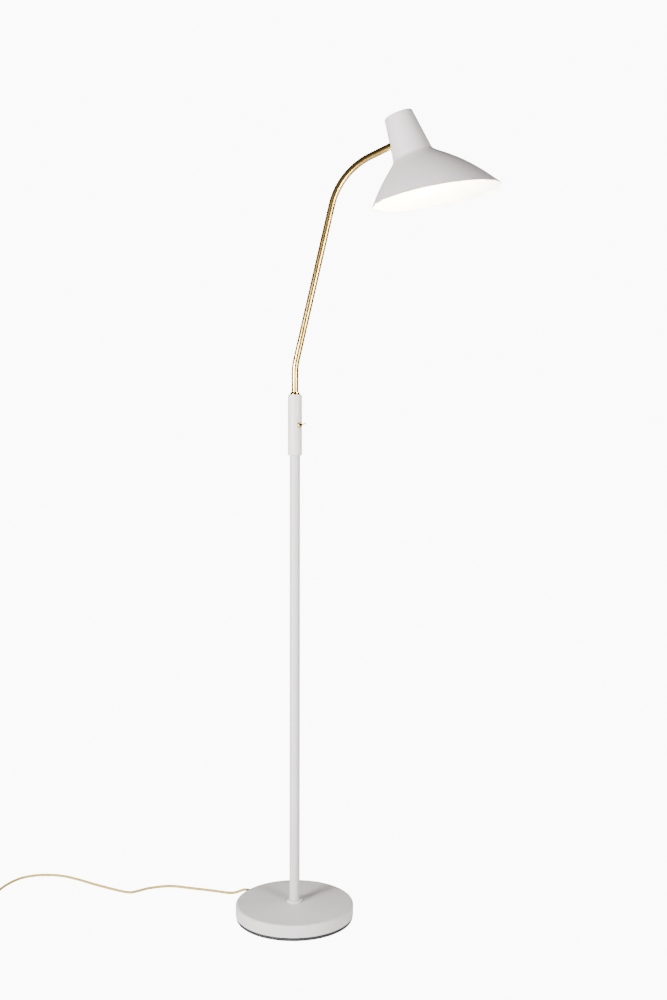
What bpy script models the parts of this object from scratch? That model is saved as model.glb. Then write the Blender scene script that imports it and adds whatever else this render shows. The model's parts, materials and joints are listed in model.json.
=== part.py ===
"""Adjustable arm floor lamp, in metres, +Z up.

The origin is the centre of the base's underside, on the pole's axis. The arm reaches out along +X.
The arm swivels about the pole in its sleeve, the shade tilts on a hollow joint inside its neck,
and a toggle switch sits in the sleeve's wall. The mains cord leaves the back of the base.
"""

import math

import bmesh
import bpy
from mathutils import Matrix, Vector

# ---------------------------------------------------------------- driving dimensions
GAP = 0.0003  # between neighbouring pieces that touch
RUNNING = 0.0001  # radial clearance where one piece turns in another
PASSING = 0.0006  # radial clearance of a hole round a bolt

BASE_RADIUS = 0.115
BASE_TOP_Z = 0.030
COVER_WALL = 0.0015
COVER_EDGE_RADIUS = 0.005
PAD_THICKNESS = 0.0068
PAD_INSET = 0.0012
PLATE_THICKNESS = 0.002
BALLAST_INSET = 0.0035
RECESS_RADIUS = 0.013
RECESS_DEPTH = 0.012
CHANNEL_WIDTH = 0.010
CHANNEL_DEPTH = 0.0085
PLATE_SCREWS = 3
PLATE_SCREW_CIRCLE = 0.080
PLATE_SCREW_RADIUS = 0.0025
PLATE_SCREW_LENGTH = 0.0125

NIPPLE_RADIUS = 0.006
NIPPLE_BORE = 0.0044
NIPPLE_LENGTH = 0.036
NUT_HEIGHT = 0.0042
NUT_RADIUS = 0.0105
WASHER_THICKNESS = 0.0008

POLE_RADIUS = 0.010
POLE_WALL = 0.0015
POLE_INSERTION = 0.030  # of the pole in the sleeve
POLE_COLLAR_RADIUS = 0.0148
POLE_COLLAR_HEIGHT = 0.005
INSERT_LENGTH = 0.025
POLE_CABLE_RADIUS = 0.002

SLEEVE_BOTTOM_Z = 0.9035
SLEEVE_LENGTH = 0.115
SLEEVE_RADIUS = 0.0135
SLEEVE_WALL = 0.0015
LOWER_BUSH_LENGTH = 0.026
GRUB_HEIGHT = 0.012  # above the sleeve's lower edge
GRUB_RADIUS = 0.002
GRUB_AZIMUTH = 130.0

SWITCH_HEIGHT = 0.0577  # above the sleeve's lower edge
SWITCH_AZIMUTH = -50.0
SWITCH_WIDTH = 0.008
SWITCH_TALL = 0.013
SWITCH_DEEP = 0.0085
BUSHING_RADIUS = 0.003
BUSHING_BORE = 0.0019
BUSHING_REACH = 0.0037  # outside the sleeve's surface
DOME_RADIUS = 0.0056
DOME_HOLE = 0.0023
LEVER_PIVOT = 0.0020  # outside the sleeve's surface
LEVER_RADIUS = 0.0011
LEVER_TIP_RADIUS = 0.0015
LEVER_LENGTH = 0.0175  # from its pivot
LEVER_THROW = 10.0  # degrees, each way
BYPASS_RADIUS = 0.001

ARM_RADIUS = 0.0065
ARM_WALL = 0.001
ARM_BUSH_LENGTH = 0.016
ARM_BELOW_BUSH = 0.010
ARM_BEND_HEIGHT = 0.0538  # of the lower bend's corner above the sleeve
ARM_LEAN = 12.87  # degrees from upright
ARM_LENGTH = 0.3744  # between the corners of its two bends
ARM_RISE = 26.0  # degrees above level
ARM_REACH = 0.1401  # from the upper corner to the tilt joint
LOWER_BEND_RADIUS = 0.110
UPPER_BEND_RADIUS = 0.135
ARM_COLLAR_WALL = 0.0035  # at its foot
ARM_COLLAR_TOP_WALL = 0.0011
ARM_COLLAR_HEIGHT = 0.005
FRICTION_WASHER = 0.0006
STOP_RING_HEIGHT = 0.005
STOP_RING_WALL = 0.0014
STOP_SCREW_RADIUS = 0.0015
STOP_SCREW_CLEARANCE = 0.0011  # from its tip to the sleeve's bore
STOP_PIN_CLEARANCE = 0.0002  # from the stop ring
STOP_PIN_MARGIN = 0.0012  # from the sleeve's bore
STOP_PIN_LENGTH = 0.0105
ARM_CABLE_RADIUS = 0.0018

JOINT_RADIUS = 0.009
JOINT_HALF_WIDTH = 0.0088
JOINT_SPLIT = 0.00015  # each half's face from the middle plane
GROOVE_INNER = 0.0036
GROOVE_OUTER = 0.0064
GROOVE_DEPTH = 0.004
WIRE_OFFSET = 0.0022  # of the wires' way into the groove from the middle plane
BOSS_RADIUS = 0.0052
BOSS_START = 0.0094
ARM_BOSS_END = 0.020
ARM_BOSS_BORE = 0.0024
SHADE_BOSS_SHOULDER = 0.0117
SHADE_BOSS_END = 0.0218
SHADE_BOSS_THREAD = 0.0043
SHADE_BOSS_BORE = 0.0020
JOINT_SCREW_RADIUS = 0.002
JOINT_HEAD_RADIUS = 0.0036
JOINT_HEAD_HEIGHT = 0.003
TUBE_TO_JOINT = 0.0105  # from the tilt axis to the end of the arm's tube
TILT_RANGE = 20.0  # degrees, each way

SHADE_LEAN = 20.43  # degrees, the neck's top leans back over the arm
SHADE_WALL = 0.0012
NECK_TOP = 0.0473  # above the tilt axis, along the neck
NECK_FOOT = -0.0304  # where the neck meets the skirt
NECK_TOP_RADIUS = 0.0273
NECK_FOOT_RADIUS = 0.03847
NECK_EDGE_RADIUS = 0.003
SKIRT_BLEND = 0.0141  # length of the skirt's first handle, along the neck's slope
SKIRT_HANDLE = (0.0884, 0.0281)  # radius, depth under the neck's foot
SKIRT_END = (0.1481, 0.1300)
RIM_DEPTH = 0.0862  # of the rim's plane under the neck's foot, on the neck's axis
RIM_TILT = 9.86  # degrees, the rim rises away from the arm
SLOT_CLEARANCE = 0.0008

BRACKET_TOP = 0.0445  # above the tilt axis
BRACKET_FOOT = 0.0120  # its foot's upper face, below the tilt axis
BRACKET_THICKNESS = 0.0015
BRACKET_WIDTH = 0.012
BRACKET_HALF_SPAN = 0.013  # to its inner faces
STUD_RADIUS = 0.002
STUD_FLANGE_RADIUS = 0.005
STUD_FLANGE = 0.001
BRACKET_NUT_HEIGHT = 0.0034
HOLDER_RADIUS = 0.014
HOLDER_TOP_RADIUS = 0.011
HOLDER_LENGTH = 0.0426
HOLDER_THREAD_DEPTH = 0.0084
SOCKET_DEPTH = 0.025
SOCKET_RADIUS = 0.0074
BULB_CAP_RADIUS = 0.0067
BULB_RADIUS = 0.0225
BULB_LENGTH = 0.0557  # of the glass
BULB_WALL = 0.001
LEAD_RADIUS = 0.0016

CORD_RADIUS = 0.00275
CORD_AZIMUTH = 136.0
CORD_EXIT_Z = 0.0150
RELIEF_LENGTH = 0.021
RELIEF_FLANGE_RADIUS = 0.0053
RELIEF_NECK_RADIUS = 0.0042
RELIEF_TIP_RADIUS = 0.0033
COIL_CENTRE = (-0.655, 0.045)
COIL_LIFT = 0.001
COIL_INNER = 0.02175
COIL_OUTER = 0.03825
COIL_TOP_INNER = 0.0245
COIL_TOP_OUTER = 0.0355
COIL_HEIGHT = 0.0103
TIE_THICKNESS = 0.0007
TIE_WIDTH = 0.010
PLUG_PLACE = (-0.701, 0.0925)  # the middle of the boot's cord end
PLUG_BOOT_LENGTH = 0.014
PLUG_BOOT_RADIUS = 0.0060
PLUG_LENGTH = 0.037
PLUG_WIDTH = 0.0350
PLUG_REAR_WIDTH = 0.0150
PLUG_HEIGHT = 0.0137
PIN_RADIUS = 0.002
PIN_LENGTH = 0.019
PIN_SPACING = 0.0186

# The cord's route on the floor, from the strain relief to the coil. Its points are chosen by hand.
CORD_RUN = (
    (-0.0986, 0.0952, 0.0149),
    (-0.1052, 0.1010, 0.0135),
    (-0.1135, 0.1054, 0.0094),
    (-0.1230, 0.1076, 0.0050),
    (-0.1340, 0.1092, 0.0029),
    (-0.1480, 0.1127, 0.00275),
    (-0.1676, 0.1194, 0.00275),
    (-0.2210, 0.1349, 0.00275),
    (-0.2638, 0.1447, 0.00275),
    (-0.3037, 0.1342, 0.00275),
    (-0.3250, 0.1190, 0.00275),
    (-0.3400, 0.1110, 0.00275),
    (-0.3629, 0.1185, 0.00275),
    (-0.4165, 0.1495, 0.00275),
    (-0.4576, 0.1764, 0.00275),
    (-0.4941, 0.1965, 0.00275),
    (-0.5272, 0.2037, 0.00275),
    (-0.5586, 0.2005, 0.00275),
    (-0.5855, 0.1840, 0.00275),
    (-0.6030, 0.1534, 0.00275),
    (-0.6115, 0.1239, 0.00275),
    (-0.6160, 0.0950, 0.0030),
    (-0.6173, 0.0650, 0.0034),
)
CORD_TAIL = (
    (-0.6985, 0.0530, 0.0036),
    (-0.7003, 0.0640, 0.0034),
    (-0.7010, 0.0750, 0.0048),
    (-0.7010, 0.0845, 0.0065),
    (-0.7010, 0.0918, 0.00685),
)

SHADE_STEPS = 40
BASE_STEPS = 40
STEPS = 14
BEND_SEGMENTS = 7


# ---------------------------------------------------------------- scene, materials and helpers
def clear_scene():
    for obj in list(bpy.data.objects):
        bpy.data.objects.remove(obj, do_unlink=True)


def new_collection(name):
    made = bpy.data.collections.new(name)
    bpy.context.scene.collection.children.link(made)
    return made


def material(name, color, roughness, metallic):
    made = bpy.data.materials.new(name)
    made.use_nodes = True
    shader = made.node_tree.nodes["Principled BSDF"]
    shader.inputs["Base Color"].default_value = (*color, 1)
    shader.inputs["Roughness"].default_value = roughness
    shader.inputs["Metallic"].default_value = metallic
    made.diffuse_color = (*color, 1)
    return made


clear_scene()
LAMP = new_collection("adjustable_arm_floor_lamp")
CUTTERS = new_collection("cutters")
CUTTERS.hide_render = True

PAINT = material("warm_white_paint", (0.62, 0.59, 0.58), 0.55, 0.0)
BRASS = material("satin_brass", (0.75, 0.52, 0.22), 0.28, 1.0)
STEEL = material("zinc_steel", (0.55, 0.56, 0.58), 0.35, 1.0)
IRON = material("cast_iron", (0.12, 0.12, 0.12), 0.8, 0.6)
BLACK = material("black_plastic", (0.02, 0.02, 0.022), 0.45, 0.0)
RUBBER = material("black_pad", (0.015, 0.015, 0.016), 0.9, 0.0)
NYLON = material("natural_nylon", (0.75, 0.72, 0.66), 0.5, 0.0)
GLASS = material("opal_glass", (0.95, 0.92, 0.85), 0.2, 0.0)
TEXTILE = material("gold_textile", (0.55, 0.38, 0.08), 0.6, 0.0)
GUNMETAL = material("gunmetal", (0.10, 0.10, 0.11), 0.3, 1.0)


def frame(name, place=(0, 0, 0), turn=None, parent=None):
    """An empty that pieces are built round. turn is a 3 by 3 rotation matrix."""
    made = bpy.data.objects.new(name, None)
    made.matrix_basis = Matrix.Translation(place) @ (turn or Matrix.Identity(3)).to_4x4()
    made.empty_display_size = 0.02
    made.parent = parent
    LAMP.objects.link(made)
    return made


def axes(x, y, z):
    """The rotation whose columns are these three directions."""
    return Matrix((x, y, z)).transposed()


def put(name, mesh, finish, parent):
    """Links a new object. A piece with no finish is a cutter, which isn't rendered."""
    obj = bpy.data.objects.new(name, mesh)
    obj.parent = parent
    if finish:
        LAMP.objects.link(obj)
        mesh.materials.append(finish)
    else:
        CUTTERS.objects.link(obj)
        obj.hide_render = True
        obj.display_type = "WIRE"
    return obj


def fillet(points, radii, segments=4):
    """An outline's points with its corners rounded. radii holds one radius for each point."""
    made = []
    for i, corner in enumerate(points):
        if radii[i] <= 0:
            made.append(tuple(corner))
            continue
        here = Vector(corner)
        before = (Vector(points[i - 1]) - here).normalized()
        after = (Vector(points[(i + 1) % len(points)]) - here).normalized()
        half = math.acos(before.dot(after)) / 2
        centre = here + (before + after).normalized() * (radii[i] / math.sin(half))
        start = here + before * (radii[i] / math.tan(half)) - centre
        sweep = (math.pi - 2 * half) * (1 if before.cross(after) < 0 else -1)
        for k in range(segments + 1):
            c, s = math.cos(sweep * k / segments), math.sin(sweep * k / segments)
            made.append((centre.x + start.x * c - start.y * s, centre.y + start.x * s + start.y * c))
    return made


def turned(name, outline, finish, parent=None, steps=STEPS, closed=False):
    """A turned piece. outline holds (radius, height) points down its outer side, top to bottom."""
    count = len(outline)
    edges = [(i, (i + 1) % count) for i in range(count if closed else count - 1)]
    mesh = bpy.data.meshes.new(name)
    mesh.from_pydata([(radius, 0.0, height) for radius, height in outline], edges, [])
    obj = put(name, mesh, finish, parent)
    screw = obj.modifiers.new("turn", "SCREW")
    screw.steps = screw.render_steps = steps
    screw.use_merge_vertices = True
    screw.merge_threshold = 0.00001
    screw.use_smooth_shade = True
    return obj


def ring(name, inner, outer, bottom, top, finish, parent=None, edge=0.0, steps=STEPS):
    """A turned ring of rectangular section, with its upper outer edge rounded."""
    outline = fillet([(inner, top), (outer, top), (outer, bottom), (inner, bottom)], (0, edge, 0, 0), 3)
    return turned(name, outline, finish, parent, steps, closed=True)


def rod(name, radius, bottom, top, finish, parent=None, edge=0.0, steps=STEPS):
    """A turned solid cylinder with rounded edges."""
    outline = fillet([(0, top), (radius, top), (radius, bottom), (0, bottom)], (0, edge, edge, 0), 2)
    return turned(name, outline, finish, parent, steps)


def prism(name, outline, axis, low, high, finish, parent=None):
    """A flat outline extruded along an axis: its points are (y, z), (z, x) or (x, y) for X, Y or Z."""
    shift = "XYZ".index(axis)
    shape = bmesh.new()
    corners = []
    for u, v in outline:
        place = [0.0, 0.0, 0.0]
        place[shift], place[(shift + 1) % 3], place[(shift + 2) % 3] = low, u, v
        corners.append(shape.verts.new(place))
    face = shape.faces.new(corners)
    grown = bmesh.ops.extrude_face_region(shape, geom=[face])["geom"]
    way = [0.0, 0.0, 0.0]
    way[shift] = high - low
    moved = [item for item in grown if isinstance(item, bmesh.types.BMVert)]
    bmesh.ops.translate(shape, vec=way, verts=moved)
    bmesh.ops.recalc_face_normals(shape, faces=shape.faces)
    mesh = bpy.data.meshes.new(name)
    shape.to_mesh(mesh)
    shape.free()
    return put(name, mesh, finish, parent)


def box(name, low, high, finish, parent=None, bevel=0.0):
    """A block from its lowest to its highest corner."""
    low, high = Vector(low), Vector(high)
    shape = bmesh.new()
    bmesh.ops.create_cube(shape, size=1.0)
    bmesh.ops.scale(shape, vec=high - low, verts=shape.verts)
    bmesh.ops.translate(shape, vec=(low + high) / 2, verts=shape.verts)
    mesh = bpy.data.meshes.new(name)
    shape.to_mesh(mesh)
    shape.free()
    obj = put(name, mesh, finish, parent)
    return bevelled(obj, bevel) if bevel else obj


def bevelled(obj, width, segments=2):
    bevel = obj.modifiers.new("edges", "BEVEL")
    bevel.width = width
    bevel.segments = segments
    bevel.limit_method = "ANGLE"
    bevel.angle_limit = math.radians(40)
    return obj


def boolean(obj, others, operation):
    for other in others:
        modifier = obj.modifiers.new(other.name, "BOOLEAN")
        modifier.operation = operation
        modifier.object = other
        modifier.solver = "EXACT"
    return obj


def cut(obj, *others):
    return boolean(obj, others, "DIFFERENCE")


def join(obj, *others):
    return boolean(obj, others, "UNION")


def smooth_path(points, step):
    """Points about step apart on a Catmull-Rom curve through the given points."""
    points = [Vector(point) for point in points]
    ends = [2 * points[0] - points[1], *points, 2 * points[-1] - points[-2]]
    fine = []
    for a, b, c, d in zip(ends, ends[1:], ends[2:], ends[3:]):
        for k in range(16):
            t = k / 16
            bend = (2 * a - 5 * b + 4 * c - d) * t**2 + (3 * b - a - 3 * c + d) * t**3
            fine.append((2 * b + (c - a) * t + bend) / 2)
    fine.append(points[-1])
    lengths = [0.0]
    for a, b in zip(fine, fine[1:]):
        lengths.append(lengths[-1] + (b - a).length)
    count = max(2, round(lengths[-1] / step))
    made, i = [], 0
    for k in range(count + 1):
        along = lengths[-1] * k / count
        while i < len(fine) - 2 and lengths[i + 1] < along:
            i += 1
        share = (along - lengths[i]) / (lengths[i + 1] - lengths[i])
        made.append(fine[i].lerp(fine[i + 1], min(1.0, share)))
    return made


def cable(name, points, radius, finish, parent=None, resolution=2, capped=True):
    """A round solid cable along points, as a poly curve. Without caps it is an open skin."""
    curve = bpy.data.curves.new(name, "CURVE")
    curve.dimensions = "3D"
    curve.bevel_depth = radius
    curve.bevel_resolution = resolution
    curve.use_fill_caps = capped
    spline = curve.splines.new("POLY")
    spline.points.add(len(points) - 1)
    for target, point in zip(spline.points, points):
        target.co = (*point, 1)
    return put(name, curve, finish, parent)


def walled(obj, thickness):
    """Gives an open surface a wall on its inner side."""
    wall = obj.modifiers.new("wall", "SOLIDIFY")
    wall.thickness = thickness
    wall.offset = -1
    wall.use_even_offset = True
    return obj


def bent_path(corners, radii, segments):
    """A path through the corners with each inner corner turned into an arc."""
    made = [corners[0]]
    for before, here, after, radius in zip(corners, corners[1:], corners[2:], radii):
        back = (before - here).normalized()
        on = (after - here).normalized()
        half = back.angle(on) / 2
        centre = here + (back + on).normalized() * (radius / math.sin(half))
        start = here + back * (radius / math.tan(half)) - centre
        end = here + on * (radius / math.tan(half)) - centre
        sweep = math.pi - 2 * half
        for k in range(segments + 1):
            share = k / segments
            near, far = math.sin((1 - share) * sweep), math.sin(share * sweep)
            made.append(centre + (start * near + end * far) / math.sin(sweep))
    made.append(corners[-1])
    return made


def quarter(count):
    """Angles from 0 to a right angle, in count steps."""
    return [math.pi / 2 * k / count for k in range(count + 1)]


def polar(radius, azimuth, height=0.0):
    angle = math.radians(azimuth)
    return Vector((radius * math.cos(angle), radius * math.sin(angle), height))


def facing(azimuth):
    """The rotation that turns Z to point level at this azimuth, and X to point up."""
    out = polar(1, azimuth)
    up = Vector((0, 0, 1))
    return axes(up, out.cross(up), out)


ALONG_Y = axes((1, 0, 0), (0, 0, -1), (0, 1, 0))  # turns Z to point along +Y


# ---------------------------------------------------------------- base
COVER_BOTTOM_Z = PAD_THICKNESS + GAP
COVER_INNER_RADIUS = BASE_RADIUS - COVER_WALL
PLATE_TOP_Z = COVER_BOTTOM_Z + PLATE_THICKNESS
BALLAST_BOTTOM_Z = PLATE_TOP_Z + GAP
BALLAST_TOP_Z = BASE_TOP_Z - COVER_WALL - GAP
RECESS_TOP_Z = BALLAST_BOTTOM_Z + RECESS_DEPTH
NIPPLE_BOTTOM_Z = RECESS_TOP_Z - WASHER_THICKNESS - NUT_HEIGHT - 2 * GAP - 0.0008
NIPPLE_HOLE = NIPPLE_RADIUS + PASSING
UNDER_Z = BALLAST_BOTTOM_Z - 0.004
FACET_RADIUS = COVER_INNER_RADIUS * math.cos(math.pi / BASE_STEPS)  # of the cover's flat facets
RELIEF_SEAT_RADIUS = math.sqrt(FACET_RADIUS**2 - RELIEF_FLANGE_RADIUS**2) - GAP


def make_cover(exit_frame):
    """A pressed steel pan: a rounded edge, a hole for the nipple and one for the cord."""
    inner_top = BASE_TOP_Z - COVER_WALL
    outline = [(NIPPLE_HOLE, BASE_TOP_Z), (BASE_RADIUS, BASE_TOP_Z), (BASE_RADIUS, COVER_BOTTOM_Z)]
    outline += [(COVER_INNER_RADIUS, COVER_BOTTOM_Z), (COVER_INNER_RADIUS, inner_top)]
    outline += [(NIPPLE_HOLE, inner_top)]
    radii = (0, COVER_EDGE_RADIUS, 0, 0, COVER_EDGE_RADIUS - COVER_WALL, 0)
    cover = turned("base_cover", fillet(outline, radii, 3), PAINT, steps=BASE_STEPS, closed=True)
    hole = RELIEF_NECK_RADIUS + GAP
    cut(cover, rod("cord_drill", hole, BASE_RADIUS - 0.02, BASE_RADIUS + 0.02, None, exit_frame))


def make_weight():
    pad_radius = BASE_RADIUS - PAD_INSET
    rod("foot_pad", pad_radius, 0, PAD_THICKNESS, RUBBER, steps=BASE_STEPS)
    plate_radius = FACET_RADIUS - GAP
    plate = rod("base_plate", plate_radius, COVER_BOTTOM_Z, PLATE_TOP_Z, STEEL, steps=32)
    weight_radius = COVER_INNER_RADIUS - BALLAST_INSET
    weight = rod("ballast_weight", weight_radius, BALLAST_BOTTOM_Z, BALLAST_TOP_Z, IRON, None, 0.002, 32)
    recess = rod("recess", RECESS_RADIUS, UNDER_Z, RECESS_TOP_Z, None, steps=24)
    shaft = rod("nipple_way", NIPPLE_HOLE, UNDER_Z, BALLAST_TOP_Z + 0.002, None)
    turn = Matrix.Rotation(math.radians(CORD_AZIMUTH), 3, "Z")
    channel_frame = frame("cable_channel", (0, 0, 0), turn)
    half, channel_top = CHANNEL_WIDTH / 2, BALLAST_BOTTOM_Z + CHANNEL_DEPTH
    low, high = (RECESS_RADIUS / 2, -half, UNDER_Z), (BASE_RADIUS, half, channel_top)
    cut(weight, recess, shaft, box("channel", low, high, None, channel_frame))
    for i in range(PLATE_SCREWS):
        make_plate_screw(i, plate, weight)


def make_plate_screw(i, plate, weight):
    """A countersunk screw from the plate into the weight, and the seat cut for it."""
    place = polar(PLATE_SCREW_CIRCLE, CORD_AZIMUTH + 60 + 360 / PLATE_SCREWS * i)
    at = frame(f"plate_screw_place_{i + 1}", place)
    shank, head = PLATE_SCREW_RADIUS, 2 * PLATE_SCREW_RADIUS
    top, flare = COVER_BOTTOM_Z + PLATE_SCREW_LENGTH, COVER_BOTTOM_Z + PLATE_THICKNESS * 0.6
    outline = [(0, top), (shank, top), (shank, flare), (head, COVER_BOTTOM_Z), (0, COVER_BOTTOM_Z)]
    turned(f"plate_screw_{i + 1}", outline, STEEL, at, 12)
    wide, wider = shank + GAP, head + 2 * GAP
    seat = [(0, top + GAP), (wide, top + GAP), (wide, flare), (wider, COVER_BOTTOM_Z)]
    seat += [(wider, UNDER_Z - 0.002), (0, UNDER_Z - 0.002)]
    seat = turned(f"screw_seat_{i + 1}", seat, None, at, 12)
    cut(plate, seat)
    cut(weight, seat)


def make_nipple():
    """The threaded tube that clamps the pole to the weight, with its nut and washer underneath."""
    top = NIPPLE_BOTTOM_Z + NIPPLE_LENGTH
    ring("base_nipple", NIPPLE_BORE, NIPPLE_RADIUS, NIPPLE_BOTTOM_Z, top, STEEL)
    around = NIPPLE_RADIUS + GAP
    washer_top = RECESS_TOP_Z - GAP
    nut_top = washer_top - WASHER_THICKNESS - GAP
    ring("base_washer", around, RECESS_RADIUS - 0.001, nut_top + GAP, washer_top, STEEL)
    nut = rod("base_nut", NUT_RADIUS, nut_top - NUT_HEIGHT, nut_top, STEEL, steps=6)
    cut(nut, rod("nut_bore", around, nut_top - 0.01, nut_top + 0.01, None))


def make_strain_relief(exit_frame):
    """A moulded grommet held in the cover's wall, tapering out along the cord."""
    wall_in, wall_out = RELIEF_SEAT_RADIUS, BASE_RADIUS + GAP
    outline = [
        (0, wall_out + RELIEF_LENGTH),
        (RELIEF_TIP_RADIUS, wall_out + RELIEF_LENGTH),
        (0.0036, wall_out + RELIEF_LENGTH * 0.6),
        (0.0044, wall_out + RELIEF_LENGTH * 0.15),
        (0.0050, wall_out + 0.0012),
        (0.0050, wall_out),
        (RELIEF_NECK_RADIUS, wall_out),
        (RELIEF_NECK_RADIUS, wall_in),
        (RELIEF_FLANGE_RADIUS, wall_in),
        (RELIEF_FLANGE_RADIUS, wall_in - 0.0022),
        (0, wall_in - 0.0022),
    ]
    turned("cord_strain_relief", outline, BLACK, exit_frame)


# ---------------------------------------------------------------- pole
POLE_BOTTOM_Z = BASE_TOP_Z + GAP
POLE_TOP_Z = SLEEVE_BOTTOM_Z + POLE_INSERTION
SWITCH_Z = SLEEVE_BOTTOM_Z + SWITCH_HEIGHT
SWITCH_FRONT = math.sqrt((SLEEVE_RADIUS - SLEEVE_WALL) ** 2 - SWITCH_WIDTH**2 / 4) - GAP
SWITCH_MIDDLE = SWITCH_FRONT - SWITCH_DEEP / 2


def make_pole():
    low, high = POLE_BOTTOM_Z, POLE_BOTTOM_Z + POLE_COLLAR_HEIGHT
    ring("pole_collar", POLE_RADIUS + GAP, POLE_COLLAR_RADIUS, low, high, PAINT, None, 0.003, 24)
    bore = POLE_RADIUS - POLE_WALL
    ring("pole_tube", bore, POLE_RADIUS, POLE_BOTTOM_Z, POLE_TOP_Z, PAINT, steps=24)
    low = POLE_BOTTOM_Z + GAP
    ring("pole_insert", NIPPLE_RADIUS + GAP, bore - GAP, low, low + INSERT_LENGTH, STEEL)


def make_pole_cable():
    """The mains cable from the strain relief through the weight and up the pole to the switch."""
    low = BALLAST_BOTTOM_Z + POLE_CABLE_RADIUS + 0.0004
    bend = 0.0035
    route = [(RELIEF_SEAT_RADIUS - 0.0025, CORD_EXIT_Z), (RELIEF_SEAT_RADIUS - 0.0087, CORD_EXIT_Z - 0.0006)]
    route += [(RELIEF_SEAT_RADIUS - 0.0227, CORD_EXIT_Z - 0.0022), (0.030, low + 0.0004), (0.012, low)]
    route += [(bend - bend * math.sin(a), low + bend - bend * math.cos(a)) for a in quarter(4)]
    points = [polar(radius, CORD_AZIMUTH, height) for radius, height in route]
    end = SWITCH_Z - SWITCH_TALL / 2 - GAP
    points.append(Vector((0, 0, POLE_TOP_Z - 0.012)))
    for share, height in ((0.25, POLE_TOP_Z - 0.002), (0.8, end - 0.010), (1, end - 0.004), (1, end)):
        points.append(polar(SWITCH_MIDDLE * share, SWITCH_AZIMUTH, height))
    cable("pole_cable", points, POLE_CABLE_RADIUS, BLACK)


# ---------------------------------------------------------------- sleeve and switch
SLEEVE_TOP_Z = SLEEVE_BOTTOM_Z + SLEEVE_LENGTH
SLEEVE_BORE = SLEEVE_RADIUS - SLEEVE_WALL
STOP_RING_RADIUS = ARM_RADIUS + GAP + STOP_RING_WALL
STOP_PIN_RADIUS = (SLEEVE_BORE - STOP_RING_RADIUS - STOP_PIN_CLEARANCE - STOP_PIN_MARGIN) / 2
STOP_PIN_CIRCLE = STOP_RING_RADIUS + STOP_PIN_CLEARANCE + STOP_PIN_RADIUS
STOP_SCREW_REACH = SLEEVE_BORE - STOP_SCREW_CLEARANCE


def make_sleeve(switch_frame):
    """The sleeve joins pole and arm. The lower bush fills the space round the thinner pole."""
    chamfer = 0.0005
    outline = [(SLEEVE_BORE, SLEEVE_TOP_Z), (SLEEVE_RADIUS - chamfer, SLEEVE_TOP_Z)]
    outline += [(SLEEVE_RADIUS, SLEEVE_TOP_Z - chamfer), (SLEEVE_RADIUS, SLEEVE_BOTTOM_Z + chamfer)]
    outline += [(SLEEVE_RADIUS - chamfer, SLEEVE_BOTTOM_Z), (SLEEVE_BORE, SLEEVE_BOTTOM_Z)]
    sleeve = turned("switch_sleeve", outline, PAINT, steps=24, closed=True)
    low = SLEEVE_BOTTOM_Z + 0.0005
    high = low + LOWER_BUSH_LENGTH
    bush = ring("lower_bush", POLE_RADIUS + GAP, SLEEVE_BORE - GAP, low, high, NYLON, steps=24)
    grub_frame = frame("grub_place", (0, 0, SLEEVE_BOTTOM_Z + GRUB_HEIGHT), facing(GRUB_AZIMUTH))
    near, far = POLE_RADIUS + GAP, SLEEVE_RADIUS - GAP
    rod("sleeve_grub_screw", GRUB_RADIUS, near, far, STEEL, grub_frame, steps=12)
    grub_hole = rod("grub_hole", GRUB_RADIUS + GAP, 0.006, 0.02, None, grub_frame, steps=12)
    cut(sleeve, grub_hole, rod("switch_hole", BUSHING_RADIUS + GAP, 0.006, 0.02, None, switch_frame))
    cut(bush, grub_hole)


def make_switch(switch_frame):
    """A toggle switch: its case inside the sleeve, its bushing through the wall, a domed nut outside."""
    tall, wide = SWITCH_TALL / 2, SWITCH_WIDTH / 2
    back = SWITCH_FRONT - SWITCH_DEEP
    box("switch_case", (-tall, -wide, back), (tall, wide, SWITCH_FRONT), BLACK, switch_frame, 0.0006)
    reach = SLEEVE_RADIUS + BUSHING_REACH
    ring("switch_bushing", BUSHING_BORE, BUSHING_RADIUS, SWITCH_FRONT + GAP, reach, BRASS, switch_frame)
    bottom = SLEEVE_RADIUS + GAP
    dome = [(DOME_RADIUS * math.sin(a), bottom + DOME_RADIUS * math.cos(a)) for a in quarter(7)]
    dome = [point for point in dome if point[0] > DOME_HOLE + 0.0004]
    top = bottom + math.sqrt(DOME_RADIUS**2 - DOME_HOLE**2)
    clear, ledge = BUSHING_RADIUS + GAP, reach + GAP
    outline = [(DOME_HOLE, top), *dome, (clear, bottom), (clear, ledge), (DOME_HOLE, ledge)]
    turned("switch_dome_nut", outline, BRASS, switch_frame, closed=True)


def make_lever(switch_frame):
    """The lever turns on a ball at its pivot and rests raised."""
    turn = Matrix.Rotation(math.radians(LEVER_THROW), 3, "Y")
    pivot = frame("toggle_throw", (0, 0, SLEEVE_RADIUS + LEVER_PIVOT), turn, switch_frame)
    tip, shaft, ball = LEVER_TIP_RADIUS, LEVER_RADIUS, LEVER_RADIUS + 0.0005
    middle = LEVER_LENGTH - tip
    outline = [(tip * math.sin(a), middle + tip * math.cos(a)) for a in quarter(4)]
    outline += [(shaft, 0.0020), (ball * 0.9, 0.0008), (ball, 0.0), (ball * 0.9, -0.0008)]
    outline += [(shaft * 0.8, -0.0018), (0, -0.0018)]
    turned("toggle_lever", outline, GUNMETAL, pivot, 16)


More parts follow.
